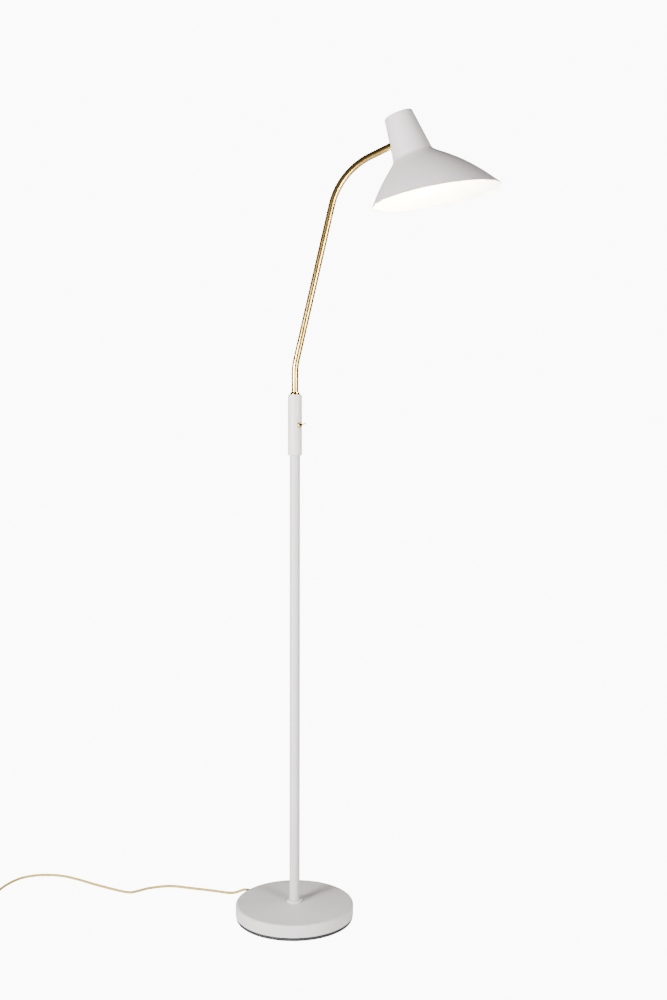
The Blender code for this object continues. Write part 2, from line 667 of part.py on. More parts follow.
def make_bypass(switch_frame):
    """The neutral wire, which passes behind the switch's case."""
    back = SWITCH_FRONT - SWITCH_DEEP - BYPASS_RADIUS - GAP
    near = SWITCH_MIDDLE - POLE_CABLE_RADIUS - BYPASS_RADIUS - 2 * GAP
    tall = SWITCH_TALL / 2
    route = [(-tall - 0.0045, near), (-tall - 0.0030, near), (-tall, back), (0, back)]
    route += [(tall, back), (tall + 0.0030, near), (tall + 0.0045, near)]
    points = smooth_path([(x, 0, z) for x, z in route], 0.002)
    cable("switch_lead", points, BYPASS_RADIUS, BLACK, switch_frame, 1)


def make_arm_bush():
    """The bush that the arm turns in, and the pin in its lower face that limits the turn."""
    bottom = SLEEVE_TOP_Z - ARM_BUSH_LENGTH
    inner, outer = ARM_RADIUS + RUNNING, SLEEVE_BORE - GAP
    bush = ring("arm_bush", inner, outer, bottom, SLEEVE_TOP_Z, NYLON, steps=24)
    at = frame("stop_pin_place", (-STOP_PIN_CIRCLE, 0, bottom))
    seat = 0.004
    rod("stop_pin", STOP_PIN_RADIUS, seat - GAP - STOP_PIN_LENGTH, seat - GAP, STEEL, at, steps=12)
    cut(bush, rod("stop_pin_seat", STOP_PIN_RADIUS + GAP, -0.01, seat, None, at, steps=12))
    return bottom


# ---------------------------------------------------------------- arm
def in_plane(angle):
    """A direction in the XZ plane, this many degrees above level."""
    return Vector((math.cos(math.radians(angle)), 0, math.sin(math.radians(angle))))


ARM_COLLAR_RADIUS = ARM_RADIUS + ARM_COLLAR_WALL
ARM_COLLAR_TOP_RADIUS = ARM_RADIUS + ARM_COLLAR_TOP_WALL
ARM_LEG = in_plane(90 - ARM_LEAN)
ARM_OUT = in_plane(ARM_RISE)
LOWER_CORNER = Vector((0, 0, ARM_BEND_HEIGHT))
UPPER_CORNER = LOWER_CORNER + ARM_LEG * ARM_LENGTH
TILT_PLACE = UPPER_CORNER + ARM_OUT * ARM_REACH


def make_arm(swivel, bush_bottom):
    """The bent tube, held down by a friction washer and a stop ring under its bush."""
    bottom = bush_bottom - SLEEVE_TOP_Z - ARM_BELOW_BUSH
    radii = (LOWER_BEND_RADIUS, UPPER_BEND_RADIUS)
    corners = [Vector((0, 0, bottom)), LOWER_CORNER, UPPER_CORNER]
    corners.append(TILT_PLACE - ARM_OUT * TUBE_TO_JOINT)
    path = bent_path(corners, radii, BEND_SEGMENTS)
    walled(cable("arm_tube", path, ARM_RADIUS, BRASS, swivel, 4, capped=False), ARM_WALL)

    around = ARM_RADIUS + GAP
    top = GAP + ARM_COLLAR_HEIGHT
    outline = [(around, top), (ARM_COLLAR_TOP_RADIUS - 0.0004, top), (ARM_COLLAR_TOP_RADIUS, top - 0.0005)]
    outline += [(ARM_COLLAR_RADIUS, GAP + 0.0012), (ARM_COLLAR_RADIUS, GAP), (around, GAP)]
    turned("arm_collar", outline, BRASS, swivel, 24, closed=True)

    washer_top = bush_bottom - SLEEVE_TOP_Z - GAP
    ring_top = washer_top - FRICTION_WASHER - GAP
    ring_bottom = ring_top - STOP_RING_HEIGHT
    washer_radius = STOP_RING_RADIUS - 0.0001
    ring("friction_washer", around, washer_radius, ring_top + GAP, washer_top, NYLON, swivel)
    stop_ring = ring("stop_ring", around, STOP_RING_RADIUS, ring_bottom, ring_top, STEEL, swivel)
    at = frame("stop_screw_place", (0, 0, (ring_bottom + ring_top) / 2), facing(0), swivel)
    rod("stop_screw", STOP_SCREW_RADIUS, around, STOP_SCREW_REACH, STEEL, at, steps=12)
    cut(stop_ring, rod("stop_screw_hole", STOP_SCREW_RADIUS + GAP, 0.004, 0.02, None, at, steps=12))
    make_arm_cable(swivel, corners, radii)


def make_arm_cable(swivel, corners, radii):
    """The cable from the switch up the arm and into the groove of the tilt joint."""
    start = SWITCH_Z + SWITCH_TALL / 2 + GAP - SLEEVE_TOP_Z
    points = []
    for share, height in ((1, 0), (1, 0.004), (0.75, 0.010), (0.2, 0.018), (0, 0.024)):
        points.append(polar(SWITCH_MIDDLE * share, SWITCH_AZIMUTH, start + height))
    points += bent_path(corners, radii, BEND_SEGMENTS)[1:-1]
    aside = Vector((0, -WIRE_OFFSET, 0))
    for along, share in ((0.0180, 0), (0.0135, 0.15), (0.0105, 0.85), (0.0085, 1), (0.0056, 1)):
        points.append(TILT_PLACE - ARM_OUT * along + aside * share)
    cable("arm_cable", points, ARM_CABLE_RADIUS, BLACK, swivel, 1)


# ---------------------------------------------------------------- tilt joint
def make_joint_half(name, side, boss_frame, axle, boss, bore, passage_end):
    """Half of the hollow joint: a drum with a groove for the wires, and a boss at its rim.

    side is -1 or 1, for the half on that side of the middle plane. boss is the outline of the boss,
    whose frame has Z pointing away from the axle.
    """
    near, far = side * JOINT_SPLIT, side * JOINT_HALF_WIDTH
    half = rod(name, JOINT_RADIUS, min(near, far), max(near, far), STEEL, axle, 0.0, 20)
    inner, outer = sorted((near, side * (JOINT_HALF_WIDTH - 0.0006)))
    low, high = (-BOSS_RADIUS, inner, GROOVE_INNER + 0.0004), (BOSS_RADIUS, outer, BOSS_START + 0.0004)
    bridge = box(f"{name}_bridge", low, high, None, boss_frame)
    neck = turned(f"{name}_boss", boss, None, boss_frame)
    deep = sorted((near - side * 0.001, near + side * GROOVE_DEPTH))
    groove = ring(f"{name}_groove", GROOVE_INNER, GROOVE_OUTER, *deep, None, axle)
    screw_hole = rod(f"{name}_screw_hole", JOINT_SCREW_RADIUS + GAP, -0.012, 0.012, None, axle)
    middle = rod(f"{name}_bore", bore, BOSS_START - 0.0009, 0.03, None, boss_frame, steps=10)
    aside = frame(f"{name}_wire_way", (0, side * WIRE_OFFSET, 0), None, boss_frame)
    wide, start = WIRE_OFFSET + 0.0001, GROOVE_INNER + 0.0009
    passage = rod(f"{name}_passage", wide, start, passage_end, None, aside, steps=10)
    join(half, bridge, neck)
    cut(half, groove, screw_hole, middle, passage)


def make_joint(swivel, tilt):
    turn = axes((-ARM_OUT.z, 0, ARM_OUT.x), (0, 1, 0), (-ARM_OUT.x, 0, -ARM_OUT.z))
    arm_end = frame("arm_end", TILT_PLACE, turn, swivel)
    arm_axle = frame("arm_axle", TILT_PLACE, ALONG_Y, swivel)
    plug = ARM_RADIUS - ARM_WALL - GAP
    boss = [(0, ARM_BOSS_END), (plug - 0.0006, ARM_BOSS_END), (plug, ARM_BOSS_END - 0.0006)]
    boss += [(plug, BOSS_START), (0, BOSS_START)]
    make_joint_half("joint_half_arm", -1, arm_end, arm_axle, boss, ARM_BOSS_BORE, 0.0145)

    down = frame("shade_boss_frame", (0, 0, 0), axes((-1, 0, 0), (0, 1, 0), (0, 0, -1)), tilt)
    shade_axle = frame("shade_axle", (0, 0, 0), ALONG_Y, tilt)
    boss = [(0, SHADE_BOSS_END), (SHADE_BOSS_THREAD, SHADE_BOSS_END)]
    boss += [(SHADE_BOSS_THREAD, SHADE_BOSS_SHOULDER), (BOSS_RADIUS, SHADE_BOSS_SHOULDER)]
    boss += [(BOSS_RADIUS, BOSS_START), (0, BOSS_START)]
    passage_end = SHADE_BOSS_SHOULDER - 0.0002
    make_joint_half("joint_half_shade", 1, down, shade_axle, boss, SHADE_BOSS_BORE, passage_end)

    face = JOINT_HALF_WIDTH + GAP
    end = face + JOINT_HEAD_HEIGHT
    shank, head = JOINT_SCREW_RADIUS, JOINT_HEAD_RADIUS
    outline = [(0, end), (shank, end), (shank, -face), (head, -face), (head, -end + 0.0008)]
    outline += [(head - 0.001, -end), (0, -end)]
    turned("joint_screw", outline, STEEL, arm_axle, 16)
    nut = rod("joint_nut", head, face, end, STEEL, arm_axle, steps=6)
    cut(nut, rod("joint_nut_bore", shank + GAP, 0, end + 0.01, None, arm_axle, steps=16))


# ---------------------------------------------------------------- shade
def skirt_points(count):
    """Points down the skirt's outer side, on a cubic curve that leaves the neck along its slope."""
    slope = Vector((NECK_FOOT_RADIUS - NECK_TOP_RADIUS, NECK_FOOT - NECK_TOP)).normalized()
    a = Vector((NECK_FOOT_RADIUS, NECK_FOOT))
    b = a + slope * SKIRT_BLEND
    c = Vector((SKIRT_HANDLE[0], NECK_FOOT - SKIRT_HANDLE[1]))
    d = Vector((SKIRT_END[0], NECK_FOOT - SKIRT_END[1]))
    made = []
    for k in range(1, count + 1):
        t = k / count
        u = 1 - t
        made.append(a * u**3 + b * 3 * u * u * t + c * 3 * u * t * t + d * t**3)
    return made


def make_shell(tilt):
    """Neck and skirt spun in one piece, cut off at the rim's plane and slotted for the arm."""
    neck = [(0, NECK_TOP), (NECK_TOP_RADIUS, NECK_TOP), (NECK_FOOT_RADIUS, NECK_FOOT)]
    outline = fillet(neck, (0, NECK_EDGE_RADIUS, 0), 2) + skirt_points(7)
    shell = walled(turned("shade_shell", outline, PAINT, tilt, SHADE_STEPS), SHADE_WALL)

    turn = Matrix.Rotation(math.radians(SHADE_LEAN - RIM_TILT), 3, "Y")
    rim = frame("rim_plane", (0, 0, NECK_FOOT - RIM_DEPTH), turn, tilt)
    below = box("below_rim", (-0.3, -0.3, -0.3), (0.3, 0.3, 0), None, rim)
    cut(shell, below, slot_cutter(tilt))


def slot_cutter(tilt):
    """A round-ended slot up the neck's back, long enough for the whole tilt."""
    taper = (NECK_FOOT_RADIUS - NECK_TOP_RADIUS) / (NECK_TOP - NECK_FOOT)
    reach = NECK_FOOT_RADIUS + taper * NECK_FOOT
    radius = ARM_RADIUS + SLOT_CLEARANCE
    ends = []
    for side in (1, -1):
        swing = math.radians(TILT_RANGE - side * (ARM_RISE - SHADE_LEAN))
        height = reach * math.tan(swing) + radius / math.cos(swing)
        ends.append(side * (height / (1 + side * taper * math.tan(swing)) - radius))
    outline = []
    for end, first in zip(ends, (0, 180)):
        for k in range(9):
            angle = math.radians(first + 180 * k / 8)
            outline.append((radius * math.cos(angle), end + radius * math.sin(angle)))
    return prism("arm_slot", outline, "X", -reach - 0.015, -reach / 2, None, tilt)


def make_bracket(tilt):
    """A stirrup that hangs the shell from the joint: its foot on the boss, its top under the stud."""
    out, inner = BRACKET_HALF_SPAN + BRACKET_THICKNESS, BRACKET_HALF_SPAN
    top, foot = BRACKET_TOP, -BRACKET_FOOT
    under, over = top - BRACKET_THICKNESS, foot - BRACKET_THICKNESS
    outside = [(-out, over), (out, over), (out, top), (-out, top)]
    inside = [(-inner, foot), (inner, foot), (inner, under), (-inner, under)]
    half = BRACKET_WIDTH / 2
    bracket = prism("shade_bracket", fillet(outside, [0.0025] * 4, 3), "X", -half, half, STEEL, tilt)
    window = prism("bracket_window", fillet(inside, [0.001] * 4, 2), "X", -0.02, 0.02, None, tilt)
    stud_hole = rod("stud_hole", STUD_RADIUS + GAP, under - 0.01, top + 0.01, None, tilt)
    boss_hole = rod("boss_hole", SHADE_BOSS_THREAD + GAP, over - 0.005, foot + 0.002, None, tilt)
    cut(bracket, window, stud_hole, boss_hole)

    flange_top = NECK_TOP - SHADE_WALL - GAP
    flange_bottom = flange_top - STUD_FLANGE
    stud_bottom = under - BRACKET_NUT_HEIGHT - 0.0012
    outline = [(0, flange_top), (STUD_FLANGE_RADIUS, flange_top), (STUD_FLANGE_RADIUS, flange_bottom)]
    outline += [(STUD_RADIUS, flange_bottom), (STUD_RADIUS, stud_bottom), (0, stud_bottom)]
    turned("shade_stud", outline, STEEL, tilt)
    nut_top = under - GAP
    nut = rod("bracket_nut", 0.004, nut_top - BRACKET_NUT_HEIGHT, nut_top, STEEL, tilt, steps=6)
    cut(nut, rod("bracket_nut_bore", STUD_RADIUS + GAP, nut_top - 0.01, nut_top + 0.01, None, tilt))


HOLDER_TOP = -BRACKET_FOOT - BRACKET_THICKNESS - GAP
HOLDER_MOUTH = HOLDER_TOP - HOLDER_LENGTH
SOCKET_TOP = HOLDER_MOUTH + SOCKET_DEPTH


def make_holder(tilt):
    """The lamp holder screws onto the boss from below, and clamps the bracket's foot."""
    thread_end = HOLDER_TOP - HOLDER_THREAD_DEPTH
    thread, way = SHADE_BOSS_THREAD + GAP, LEAD_RADIUS + GAP
    outline = [
        (thread, HOLDER_TOP),
        (HOLDER_TOP_RADIUS, HOLDER_TOP),
        (HOLDER_RADIUS - 0.0003, HOLDER_TOP - 0.0065),
        (HOLDER_RADIUS, HOLDER_TOP - 0.0080),
        (HOLDER_RADIUS, HOLDER_MOUTH),
        (SOCKET_RADIUS, HOLDER_MOUTH),
        (SOCKET_RADIUS, SOCKET_TOP),
        (way, SOCKET_TOP),
        (way, thread_end),
        (thread, thread_end),
    ]
    turned("lamp_holder", outline, BLACK, tilt, 20, closed=True)
    rod("holder_contact", 0.003, SOCKET_TOP - GAP - 0.0009, SOCKET_TOP - GAP, BRASS, tilt)
    points = [(WIRE_OFFSET, -0.0048), (WIRE_OFFSET, -0.0074), (WIRE_OFFSET * 0.75, -0.0097)]
    points += [(WIRE_OFFSET * 0.1, -0.0113), (0, -0.0135), (0, SOCKET_TOP + 0.0015)]
    cable("holder_lead", [(0, y, z) for y, z in points], LEAD_RADIUS, BLACK, tilt)


def make_bulb(tilt):
    """A small globe bulb with a screw cap. The glass is open at its neck."""
    cap_top, cap_bottom = SOCKET_TOP - 0.0020, HOLDER_MOUTH + 0.0001
    outline = [(0, cap_top), (0.0030, cap_top), (BULB_CAP_RADIUS, cap_top - 0.0028)]
    outline += [(BULB_CAP_RADIUS, cap_bottom), (0, cap_bottom)]
    turned("bulb_cap", outline, BRASS, tilt)
    neck, top = BULB_CAP_RADIUS - 0.0004, cap_bottom - GAP
    centre = top - BULB_LENGTH + BULB_RADIUS
    outline = [(neck, top), (neck + 0.0002, top - 0.0040), (neck + 0.0042, centre + BULB_RADIUS)]
    for angle in (math.pi * k / 7 for k in range(2, 7)):
        outline.append((BULB_RADIUS * math.sin(angle), centre + BULB_RADIUS * math.cos(angle)))
    outline.append((0, centre - BULB_RADIUS))
    walled(turned("bulb_globe", outline, GLASS, tilt, 16), BULB_WALL)


# ---------------------------------------------------------------- cord
def make_cord():
    cable("cord_run", smooth_path(CORD_RUN, 0.016), CORD_RADIUS, TEXTILE)
    cable("cord_tail", smooth_path(CORD_TAIL, 0.010), CORD_RADIUS, TEXTILE)
    coil = frame("coil_place", (*COIL_CENTRE, COIL_LIFT))
    foot, shoulder = 0.0018, 0.0052
    outline = [(COIL_TOP_OUTER - 0.001, COIL_HEIGHT), (COIL_OUTER, shoulder), (COIL_OUTER, foot)]
    outline += [(COIL_OUTER - foot, 0), (COIL_INNER + foot, 0), (COIL_INNER, foot)]
    outline += [(COIL_INNER, shoulder), (COIL_TOP_INNER + 0.001, COIL_HEIGHT)]
    turned("cord_coil", outline, TEXTILE, coil, 24, closed=True)

    room, wall = 0.0003, TIE_THICKNESS
    near = math.sqrt(COIL_INNER**2 - TIE_WIDTH**2 / 4) - room
    far, floor = COIL_OUTER + room, -GAP
    top, slope = COIL_HEIGHT + room, shoulder + room
    inside = [(-near, floor), (-far, floor), (-far, slope), (-COIL_TOP_OUTER - room, top)]
    inside += [(-COIL_TOP_INNER + room, top), (-near, slope)]
    outside = [(-near + wall, floor - wall), (-far - wall, floor - wall)]
    outside += [(-far - wall, slope + wall / 3), (-COIL_TOP_OUTER - room - wall / 2, top + wall)]
    outside += [(-COIL_TOP_INNER + room + wall / 2, top + wall), (-near + wall, slope + wall / 3)]
    half = TIE_WIDTH / 2
    tie = prism("cord_tie", outside, "X", -half, half, BLACK, coil)
    cut(tie, prism("tie_window", inside, "X", -0.02, 0.02, None, coil))


def make_plug():
    """A flat two-pin plug lying on the floor, with a tapered boot round the cord."""
    middle = PLUG_HEIGHT / 2
    plug = frame("plug_place", (*PLUG_PLACE, middle))
    along = frame("plug_axis", (0, 0, 0), ALONG_Y, plug)
    body = PLUG_BOOT_LENGTH + GAP
    outline = [(0, PLUG_BOOT_LENGTH), (PLUG_BOOT_RADIUS, PLUG_BOOT_LENGTH), (0.0052, 0.007)]
    outline += [(0.0040, 0.0010), (0.0034, 0.0), (0, 0.0)]
    turned("plug_boot", outline, BLACK, along)
    rear, wide, end = PLUG_REAR_WIDTH / 2, PLUG_WIDTH / 2, body + PLUG_LENGTH
    waist = body + PLUG_LENGTH * 0.45
    outline = [(-rear, body), (rear, body), (wide, waist), (wide, end), (-wide, end), (-wide, waist)]
    flat = fillet(outline, (0.003, 0.003, 0.012, 0.003, 0.003, 0.012), 3)
    bevelled(prism("plug_body", flat, "Z", -middle, middle, BLACK, plug), 0.0022)
    for i, side in enumerate((-1, 1)):
        pin = frame(f"pin_place_{i + 1}", (side * PIN_SPACING / 2, 0, 0), ALONG_Y, plug)
        low = end + GAP
        rod(f"plug_pin_{i + 1}", PIN_RADIUS, low, low + PIN_LENGTH, BRASS, pin, 0.0008, 12)


# ---------------------------------------------------------------- the lamp
exit_frame = frame("cord_exit", (0, 0, CORD_EXIT_Z), facing(CORD_AZIMUTH))
make_cover(exit_frame)
make_weight()
make_nipple()
make_strain_relief(exit_frame)
make_pole()
make_pole_cable()

switch_frame = frame("switch_place", (0, 0, SWITCH_Z), facing(SWITCH_AZIMUTH))
make_sleeve(switch_frame)
make_switch(switch_frame)
make_lever(switch_frame)
make_bypass(switch_frame)

arm_swivel = frame("arm_swivel", (0, 0, SLEEVE_TOP_Z))
make_arm(arm_swivel, make_arm_bush())
lean = Matrix.Rotation(math.radians(-SHADE_LEAN), 3, "Y")
shade_tilt = frame("shade_tilt", TILT_PLACE, lean, arm_swivel)
make_joint(arm_swivel, shade_tilt)
make_shell(shade_tilt)
make_bracket(shade_tilt)
make_holder(shade_tilt)
make_bulb(shade_tilt)

make_cord()
make_plug()
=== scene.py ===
import json
import math

import bmesh
import bpy
from mathutils import Matrix, Vector


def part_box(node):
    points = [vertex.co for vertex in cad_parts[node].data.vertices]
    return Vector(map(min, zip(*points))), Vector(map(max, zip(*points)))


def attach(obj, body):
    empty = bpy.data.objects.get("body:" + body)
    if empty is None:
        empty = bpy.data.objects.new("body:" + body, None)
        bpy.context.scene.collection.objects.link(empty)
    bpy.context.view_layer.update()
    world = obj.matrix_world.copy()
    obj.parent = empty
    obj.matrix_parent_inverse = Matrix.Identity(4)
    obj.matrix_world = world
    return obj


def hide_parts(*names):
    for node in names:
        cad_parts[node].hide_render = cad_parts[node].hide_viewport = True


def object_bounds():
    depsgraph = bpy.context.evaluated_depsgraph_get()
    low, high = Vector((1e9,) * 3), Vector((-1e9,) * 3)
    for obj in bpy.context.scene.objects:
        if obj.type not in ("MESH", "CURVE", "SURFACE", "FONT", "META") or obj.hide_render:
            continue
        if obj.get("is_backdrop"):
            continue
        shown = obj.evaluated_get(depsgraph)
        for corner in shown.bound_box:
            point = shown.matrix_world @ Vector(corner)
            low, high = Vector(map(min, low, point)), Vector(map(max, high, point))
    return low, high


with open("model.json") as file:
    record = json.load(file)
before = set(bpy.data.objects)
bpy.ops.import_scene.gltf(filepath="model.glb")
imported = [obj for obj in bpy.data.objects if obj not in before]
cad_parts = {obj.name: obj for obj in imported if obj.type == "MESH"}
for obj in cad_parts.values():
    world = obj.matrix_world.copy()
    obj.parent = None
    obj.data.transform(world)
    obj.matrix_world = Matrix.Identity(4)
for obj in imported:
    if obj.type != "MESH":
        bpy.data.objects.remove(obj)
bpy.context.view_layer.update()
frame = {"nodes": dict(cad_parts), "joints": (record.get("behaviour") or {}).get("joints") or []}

# %% [markdown]
# # An adjustable arm floor lamp
# The lamp has a weighted round base, an upright pole, a sleeve with a toggle switch, a bent brass arm
# and a spun metal shade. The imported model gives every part's place. This script gives each visible
# part its fine shape and its finish, and prints what it made.

# %% Scene clean-up
for leftover in ("Cube", "Light", "Camera"):
    if leftover in bpy.data.objects:
        bpy.data.objects.remove(bpy.data.objects[leftover], do_unlink=True)

# %% [markdown]
# ## Where the parts are
# A joint's record says where its axis is. The shade is described in a frame of its own, with its
# origin on the tilt axis and its Z along the neck, because a turned part is simplest about Z. The
# matrix SHADE_PLACE carries a finished mesh to its place on the lamp.

# %% Places
joints = {joint["name"]: joint for joint in frame["joints"]}
TILT_AXIS = Vector(joints["shade_tilt"]["pos_m"])
SLEEVE_TOP = joints["arm_swivel"]["pos_m"][2]
SHADE_LEAN = math.radians(20.43)  # the neck's top leans back over the arm
SHADE_PLACE = Matrix.Translation(TILT_AXIS) @ Matrix.Rotation(-SHADE_LEAN, 4, "Y")
SWITCH_AZIMUTH = math.radians(-50)
CORD_AZIMUTH = math.radians(136)
CORD_EXIT_Z = 0.015


def facing(azimuth, height):
    """A frame whose Z points level at an azimuth from the pole's axis, and whose X points up."""
    out = Vector((math.cos(azimuth), math.sin(azimuth), 0))
    up = Vector((0, 0, 1))
    turn = Matrix((up, out.cross(up), out)).transposed().to_4x4()
    return Matrix.Translation((0, 0, height)) @ turn


SWITCH_PLACE = facing(SWITCH_AZIMUTH, joints["toggle_throw"]["pos_m"][2])
CORD_PLACE = facing(CORD_AZIMUTH, CORD_EXIT_Z)
print("tilt axis at", [round(v, 4) for v in TILT_AXIS])

# %% [markdown]
# ## The camera
# The camera stands over two metres away, which keeps the pole straight. It is above the lamp's
# middle but below the shade, so it sees the base's top and a little of the shade's inside.

# %% Camera
CAMERA_PLACE = Vector((0.0739, -2.296, 0.971))
CAMERA_DOWN = math.radians(3.81)
CAMERA_ROLL = math.radians(0.17)
camera_data = bpy.data.cameras.new("studio_camera")
camera_data.sensor_width = 36
camera_data.lens = 43.27
camera = bpy.data.objects.new("studio_camera", camera_data)
bpy.context.scene.collection.objects.link(camera)
camera.matrix_world = (
    Matrix.Translation(CAMERA_PLACE)
    @ Matrix.Rotation(math.pi / 2 - CAMERA_DOWN, 4, "X")
    @ Matrix.Rotation(CAMERA_ROLL, 4, "Z")
)
bpy.context.scene.camera = camera

# %% [markdown]
# ## The cord's route
# The cord is a curve with a bevel, so its length is exact and its surface is round everywhere. Few
# points are given, and a Catmull-Rom curve rounds them. The part that isn't in view is wound
# into a small coil in two layers, and the plug lies beside it.

# %% Cord route
CORD_RADIUS = 0.00275
CORD_LENGTH = 1.8
CORD_RUN = (
    (-0.0986, 0.0952, 0.0149),
    (-0.1052, 0.1010, 0.0135),
    (-0.1135, 0.1054, 0.0094),
    (-0.1230, 0.1076, 0.0050),
    (-0.1340, 0.1092, 0.0029),
    (-0.1480, 0.1127, 0.00275),
    (-0.1676, 0.1194, 0.00275),
    (-0.2210, 0.1349, 0.00275),
    (-0.2638, 0.1447, 0.00275),
    (-0.3037, 0.1342, 0.00275),
    (-0.3250, 0.1190, 0.00275),
    (-0.3400, 0.1110, 0.00275),
    (-0.3629, 0.1185, 0.00275),
    (-0.4165, 0.1495, 0.00275),
    (-0.4576, 0.1764, 0.00275),
    (-0.4941, 0.1965, 0.00275),
    (-0.5272, 0.2037, 0.00275),
    (-0.5586, 0.2005, 0.00275),
    (-0.5855, 0.1840, 0.00275),
    (-0.6030, 0.1534, 0.00275),
    (-0.6115, 0.1239, 0.00275),
    (-0.6160, 0.0950, 0.0030),
    (-0.6173, 0.0650, 0.0034),
)
CORD_TAIL = (
    (-0.6985, 0.0530, 0.0036),
    (-0.7003, 0.0640, 0.0034),
    (-0.7010, 0.0750, 0.0048),
    (-0.7010, 0.0845, 0.0065),
    (-0.7010, 0.0918, 0.00685),
)
COIL_CENTRE = Vector((-0.655, 0.045))
# The coil, three turns below and two above: turns so far, radius and height at each change.
COIL_TURNS = (
    (0.0, 0.0355, 0.00375),
    (0.95, 0.0355, 0.00375),
    (1.10, 0.0300, 0.00375),
    (2.10, 0.0300, 0.00375),
    (2.25, 0.0245, 0.00375),
    (3.10, 0.0245, 0.00375),
    (3.30, 0.02725, 0.0085),
    (4.25, 0.02725, 0.0085),
    (4.40, 0.03275, 0.0085),
    (5.42, 0.03275, 0.0085),
    (5.5, 0.0345, 0.0090),
)


def rounded_route(points, step):
    """Points about step apart on a Catmull-Rom curve through the given points."""
    points = [Vector(point) for point in points]
    ends = [2 * points[0] - points[1], *points, 2 * points[-1] - points[-2]]
    fine = []
    for a, b, c, d in zip(ends, ends[1:], ends[2:], ends[3:]):
        for k in range(16):
            t = k / 16
            bend = (2 * a - 5 * b + 4 * c - d) * t**2 + (3 * b - a - 3 * c + d) * t**3
            fine.append((2 * b + (c - a) * t + bend) / 2)
    fine.append(points[-1])
    made, walked = [fine[0]], 0.0
    for a, b in zip(fine, fine[1:]):
        walked += (b - a).length
        if walked >= step:
            made.append(b)
            walked = 0.0
    return [*made, points[-1]]


def coil_points():
    """Points round the coil, clockwise from above, easing from one row of COIL_TURNS to the next."""
    made = []
    for (turn, radius, height), (turn2, radius2, height2) in zip(COIL_TURNS, COIL_TURNS[1:]):
        steps = max(1, round((turn2 - turn) * 24))
        for k in range(steps):
            share = k / steps
            ease = share * share * (3 - 2 * share)
            angle = -2 * math.pi * (turn + (turn2 - turn) * share)
            out = radius + (radius2 - radius) * ease
            place = COIL_CENTRE + Vector((math.cos(angle), math.sin(angle))) * out
            made.append(Vector((*place, height + (height2 - height) * ease)))
    return made


# %% Cord curve
def cord_curve(name, points, radius):
    """A round tube along points: one open spline, with its ends filled."""
    curve = bpy.data.curves.new(name, "CURVE")
    curve.dimensions = "3D"
    curve.bevel_depth = radius
    curve.bevel_resolution = 5
    curve.use_fill_caps = True
    spline = curve.splines.new("POLY")
    spline.points.add(len(points) - 1)
    for target, point in zip(spline.points, points):
        target.co = (*point, 1)
    spline.use_smooth = True
    made = bpy.data.objects.new(name, curve)
    bpy.context.scene.collection.objects.link(made)
    return made


coiled = coil_points()
hand_over = [coiled[-1], (-0.6925, 0.0468, 0.0086), (-0.6967, 0.0500, 0.0062)]
cord_points = rounded_route(CORD_RUN, 0.005) + coiled + rounded_route([*hand_over, *CORD_TAIL[1:]], 0.005)[1:]
mains_cord = cord_curve("mains_cord", cord_points, CORD_RADIUS)
cord_measured = sum((b - a).length for a, b in zip(cord_points, cord_points[1:]))
print("cord", round(cord_measured, 3), "m, in", len(cord_points), "points")

# %% [markdown]
# ## The studio
# The floor is a pale sheet, far larger than the view. A big soft light stands at the front and to
# the left, a weaker one fills in from the right, and two small ones nearer the lamp light the base.
# The sky is brighter near the horizon and dim overhead, so that surfaces that look up, such as the
# shade's skirt, are darker than upright ones. The camera sees sky and floor as nearly white, by a
# Light Path node, and the lamp is lit by their dimmer values.


# %% Node helpers
def nodes_of(tree):
    """Empties a node tree, and returns functions that add and join nodes in it."""
    tree.nodes.clear()

    def add(kind, **values):
        made = tree.nodes.new(kind)
        for key, value in values.items():
            setattr(made, key, value)
        return made

    def join(source, output, target, socket):
        tree.links.new(source.outputs[output], target.inputs[socket])

    return add, join


def math_node(add, join, operation, first, second):
    """A Math node. Each side is a number or a (node, output) pair."""
    made = add("ShaderNodeMath", operation=operation)
    for socket, side in enumerate((first, second)):
        if isinstance(side, tuple):
            join(side[0], side[1], made, socket)
        else:
            made.inputs[socket].default_value = side
    return made


def colour_ramp(add, stops):
    """A Color Ramp with the given (position, colour) stops."""
    ramp = add("ShaderNodeValToRGB")
    elements = ramp.color_ramp.elements
    while len(elements) < len(stops):
        elements.new(0.5)
    for element, (position, colour) in zip(elements, stops):
        element.position = position
        element.color = (*colour, 1)
    return ramp


# %% World
SEEN_WHITE = 10.5  # the backdrop's strength where the camera sees it
SKY_STOPS = [
    (0.0, (0.4, 0.4, 0.4)),
    (0.5, (0.30, 0.29, 0.29)),
    (0.62, (0.13, 0.13, 0.13)),
    (1.0, (0.06, 0.06, 0.063)),
]
world = bpy.data.worlds.new("studio_sky")
world.use_nodes = True
bpy.context.scene.world = world
add, join = nodes_of(world.node_tree)
place = add("ShaderNodeTexCoord")
split = add("ShaderNodeSeparateXYZ")
join(place, "Generated", split, "Vector")
sky = colour_ramp(add, SKY_STOPS)
spread = add("ShaderNodeMapRange")
spread.inputs["From Min"].default_value = -1.0
join(split, "Z", spread, "Value")
join(spread, "Result", sky, "Fac")
lit = add("ShaderNodeBackground")
lit.inputs["Strength"].default_value = 1.0
join(sky, "Color", lit, "Color")
seen = add("ShaderNodeBackground")
seen.inputs["Color"].default_value = (1, 1, 1, 1)
seen.inputs["Strength"].default_value = SEEN_WHITE
ray = add("ShaderNodeLightPath")
mixed = add("ShaderNodeMixShader")
join(ray, "Is Camera Ray", mixed, 0)
join(lit, "Background", mixed, 1)
join(seen, "Background", mixed, 2)
out = add("ShaderNodeOutputWorld")
join(mixed, "Shader", out, "Surface")

